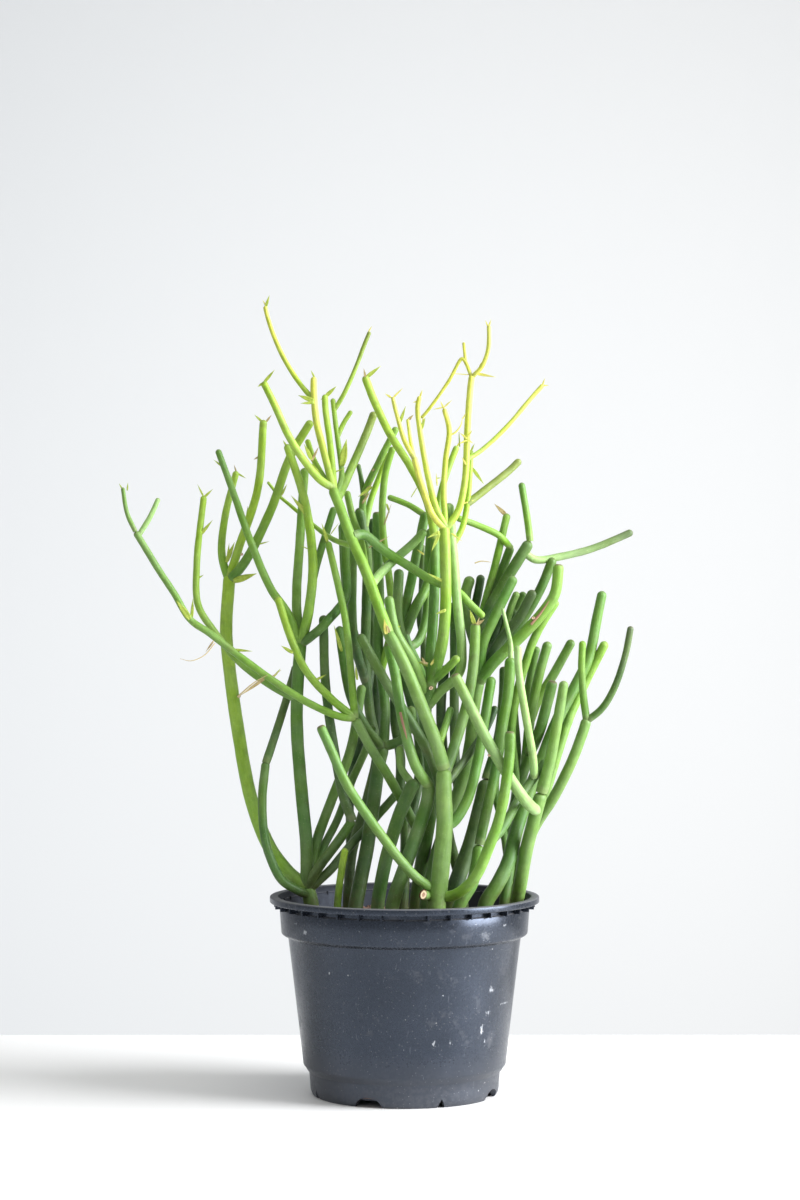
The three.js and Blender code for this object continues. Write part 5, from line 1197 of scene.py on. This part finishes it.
def make_soil(material):
    """The potting soil: its sides against the pot's wall, its top crumbled."""
    inside = COLLAR_INSIDE - CLEARANCE
    corners = [
        (0, FLOOR_TOP + CLEARANCE), (FOOT_RADIUS + 0.2, FLOOR_TOP + CLEARANCE),
        (SKIRT_RADIUS - WALL - CLEARANCE, SKIRT_HEIGHT + 1),
        (BODY_FOOT_RADIUS - WALL - 2 * CLEARANCE, BODY_FOOT_HEIGHT + 1),
        (BODY_TOP_RADIUS - WALL - CLEARANCE, BODY_TOP_HEIGHT + 1.2),
        (inside - CLEARANCE, COLLAR_FOOT + 1.2), (inside, SOIL_HEIGHT - 3),
        *((r, SOIL_HEIGHT) for r in np.linspace(inside, 1.5, SOIL_RINGS)), (0, SOIL_HEIGHT),
    ]
    soil = turned("potting_soil", corners, SOIL_SEGMENTS, material)
    for vertex in soil.data.vertices:
        if vertex.co.z > (SOIL_HEIGHT - 1) * MM:
            vertex.co.z = soil_surface(vertex.co.x, vertex.co.y)
    soil.data.attributes.new("crumb_tint", "FLOAT", "POINT")
    smooth_by_angle(soil, 180)
    return soil


def make_crumbs(soil, material):
    """Loose crumbs of peat and bark on the soil, strewn over the faces that look up."""
    tree, given = geometry_tree("strewn_crumbs", CRUMB_SIZES)
    density, seed = given["Density"], given["Seed"]
    up = add(tree, "ShaderNodeSeparateXYZ", (add(tree, "GeometryNodeInputNormal"),), 2)
    upward = add(tree, "FunctionNodeCompare", (up, 0.55), data_type="FLOAT", operation="GREATER_THAN")
    inputs = {"Mesh": given["Geometry"], "Selection": upward, "Density": density, "Seed": seed}
    points = add(tree, "GeometryNodeDistributePointsOnFaces", inputs)
    # One dented ball, turned and sized anew at every point.
    crumb = add(tree, "GeometryNodeMeshIcoSphere", {"Radius": 1.0, "Subdivisions": 2})
    inputs = {"Vector": add(tree, "GeometryNodeInputPosition"), "Scale": 1.3, "Detail": 1.0}
    dents = add(tree, "ShaderNodeTexNoise", inputs, 1)
    dents = add(tree, "ShaderNodeVectorMath", (dents, (0.5, 0.5, 0.5)), operation="SUBTRACT")
    dents = add(tree, "ShaderNodeVectorMath", {0: dents, 3: 2.2}, operation="SCALE")
    crumb = add(tree, "GeometryNodeSetPosition", {"Geometry": crumb, "Offset": dents})
    inputs = {"Min": (-3.1, -3.1, -3.1), "Max": (3.1, 3.1, 3.1), "Seed": seed}
    spin = add(tree, "FunctionNodeRandomValue", inputs, data_type="FLOAT_VECTOR")
    inputs = {2: given["Smallest"], 3: given["Largest"], "Seed": 11}
    size = add(tree, "FunctionNodeRandomValue", inputs, 1)
    inputs = {"Points": points, "Instance": crumb, "Rotation": spin, "Scale": size}
    strewn = add(tree, "GeometryNodeInstanceOnPoints", inputs)
    tint = add(tree, "FunctionNodeRandomValue", {2: 0.0, 3: 0.9, "Seed": 23}, 1)
    inputs = {"Geometry": strewn, "Name": "crumb_tint", "Value": tint}
    tinted = add(tree, "GeometryNodeStoreNamedAttribute", inputs, data_type="FLOAT", domain="INSTANCE")
    end_tree(tree, tinted, material)
    crumbs = grown(mesh_object("crumbs_source", soil.data.copy()), tree, CRUMB_SIZES, "soil_crumbs")
    smooth_by_angle(crumbs, 60)
    return crumbs


def make_scars(material):
    """The healed cuts, each a shallow closed oval of cork on the skin."""
    bm = bmesh.new()
    layer = bm.verts.layers.float.new("from_middle")
    turns = [2 * math.pi * i / SCAR_SIDES for i in range(SCAR_SIDES)]
    for middle, half_width, half_height, turned_left in SCARS:
        aside = math.radians(turned_left)
        across = Vector((math.cos(aside), math.sin(aside), 0)) * half_width * MM
        along = Vector((0.15, 0, 1)) * half_height * MM
        facing = across.cross(along).normalized()
        rings = []
        for share, height in SCAR_PROFILE:
            ring = []
            for turn in turns:
                flat = across * math.cos(turn) + along * math.sin(turn)
                corner = bm.verts.new(sight(middle) + flat * share + facing * height * SCAR_RISE * MM)
                corner[layer] = share
                ring.append(corner)
            rings.append(ring)
        bridge(bm, rings)
        bm.faces.new(rings[0])
        bm.faces.new(rings[-1])
    return closed_object(bm, "cork_scars", material)


def stage_plane(name, corners, roughness, colour, left_shade_colour):
    """A flat piece of the room: a table top, or a wall with painted shade that greys towards its left."""
    mesh = bpy.data.meshes.new(name)
    mesh.from_pydata(corners, [], [(0, 1, 2, 3)])
    material, tree, place = new_material(name + " paint")
    tone = colour
    # Painted shade: the wall's colour greys towards its left.
    if left_shade_colour:
        tone = coat(tree, left_shade_colour, colour, add(tree, "ShaderNodeSeparateXYZ", (place,)), -0.6, 0.5)
    paint = {"Base Color": tone, "Roughness": roughness, "IOR": 1.45}
    add(tree, "ShaderNodeOutputMaterial", (add(tree, "ShaderNodeBsdfPrincipled", paint),), None)
    mesh.materials.append(material)
    mesh_object(name, mesh)


def area_light(name, place, target, width, height, watts, colour, spread):
    """A soft light that faces its target and doesn't show itself."""
    light = bpy.data.lights.new(name, "AREA")
    light.shape = "RECTANGLE"
    light.size = width
    light.size_y = height
    light.energy = watts
    light.spread = spread
    light.color = linear(colour)[:3]
    made = bpy.data.objects.new(name, light)
    made.location = place
    made.rotation_euler = (Vector(target) - Vector(place)).to_track_quat("-Z", "Y").to_euler()
    made.visible_camera = False
    bpy.context.scene.collection.objects.link(made)


def make_studio():
    """A pale table in front of a pale wall, and soft daylight from the right and front."""
    for plane in STAGE:
        stage_plane(*plane)
    for light in LIGHTS:
        area_light(*light)
    world = bpy.data.worlds.new("pale_room")
    world.use_nodes = True
    background = world.node_tree.nodes["Background"]
    background.inputs["Color"].default_value = linear("#f1f3f5")
    background.inputs["Strength"].default_value = 0.5
    bpy.context.scene.world = world
    # Plain sRGB, so that the colours show as they are written.
    bpy.context.scene.view_settings.view_transform = "Standard"


def make_camera():
    """The photograph's view: level, along +Y."""
    data = bpy.data.cameras.new("camera")
    data.lens = LENS
    data.sensor_width = FILM
    camera = bpy.data.objects.new("camera", data)
    camera.location = Vector((EYE_X, -EYE_DISTANCE, EYE_HEIGHT)) * MM
    camera.rotation_euler = (math.pi / 2, 0, 0)
    bpy.context.scene.collection.objects.link(camera)
    bpy.context.scene.camera = camera


def seat(piece, slot, *nodes):
    """Sets a finished piece on the one body, in place of its nodes; its slot is not used."""
    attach(piece, "root")
    if nodes:
        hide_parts(*nodes)


make_camera()
make_studio()

pot_plastic = make_pot_plastic()
seat(make_pot(pot_plastic), "pot_plastic", "pot")
seat(make_neck_webs(pot_plastic), "pot_plastic")

peat = make_peat()
soil = make_soil(peat)
seat(soil, "peat", "soil")
seat(make_crumbs(soil, peat), "peat")

pencil_tree = make_sweep_tree(PENCIL_SIZES, make_stem_skin())
for stem, pencils in STEMS.items():
    seat(make_stem(stem, pencils, pencil_tree), "stem_skin", stem)

leaf_skins = {kind: make_leaf_skin(*looks) for kind, looks in LEAF_SKINS.items()}
for leaf, (foot, tip, width) in LEAVES.items():
    skin = leaf_skins["dried" if leaf.endswith(("_dry", "_curled")) else "fresh"]
    seat(make_leaves(leaf + "_blade", [(foot, tip, width * LEAF_FULLNESS)], skin), "leaf", leaf)
for kind, skin in leaf_skins.items():
    seat(make_leaves("small_leaves_" + kind, SMALL_LEAVES[kind], skin), "leaf")
    seat(make_hairs("hairs_" + kind, HAIRS[kind], skin), "leaf")

scar_cork = make_scar_cork()
seat(make_scars(scar_cork), "stem_skin")
seat(make_hairs("cork_streaks", STREAKS, scar_cork), "stem_skin")
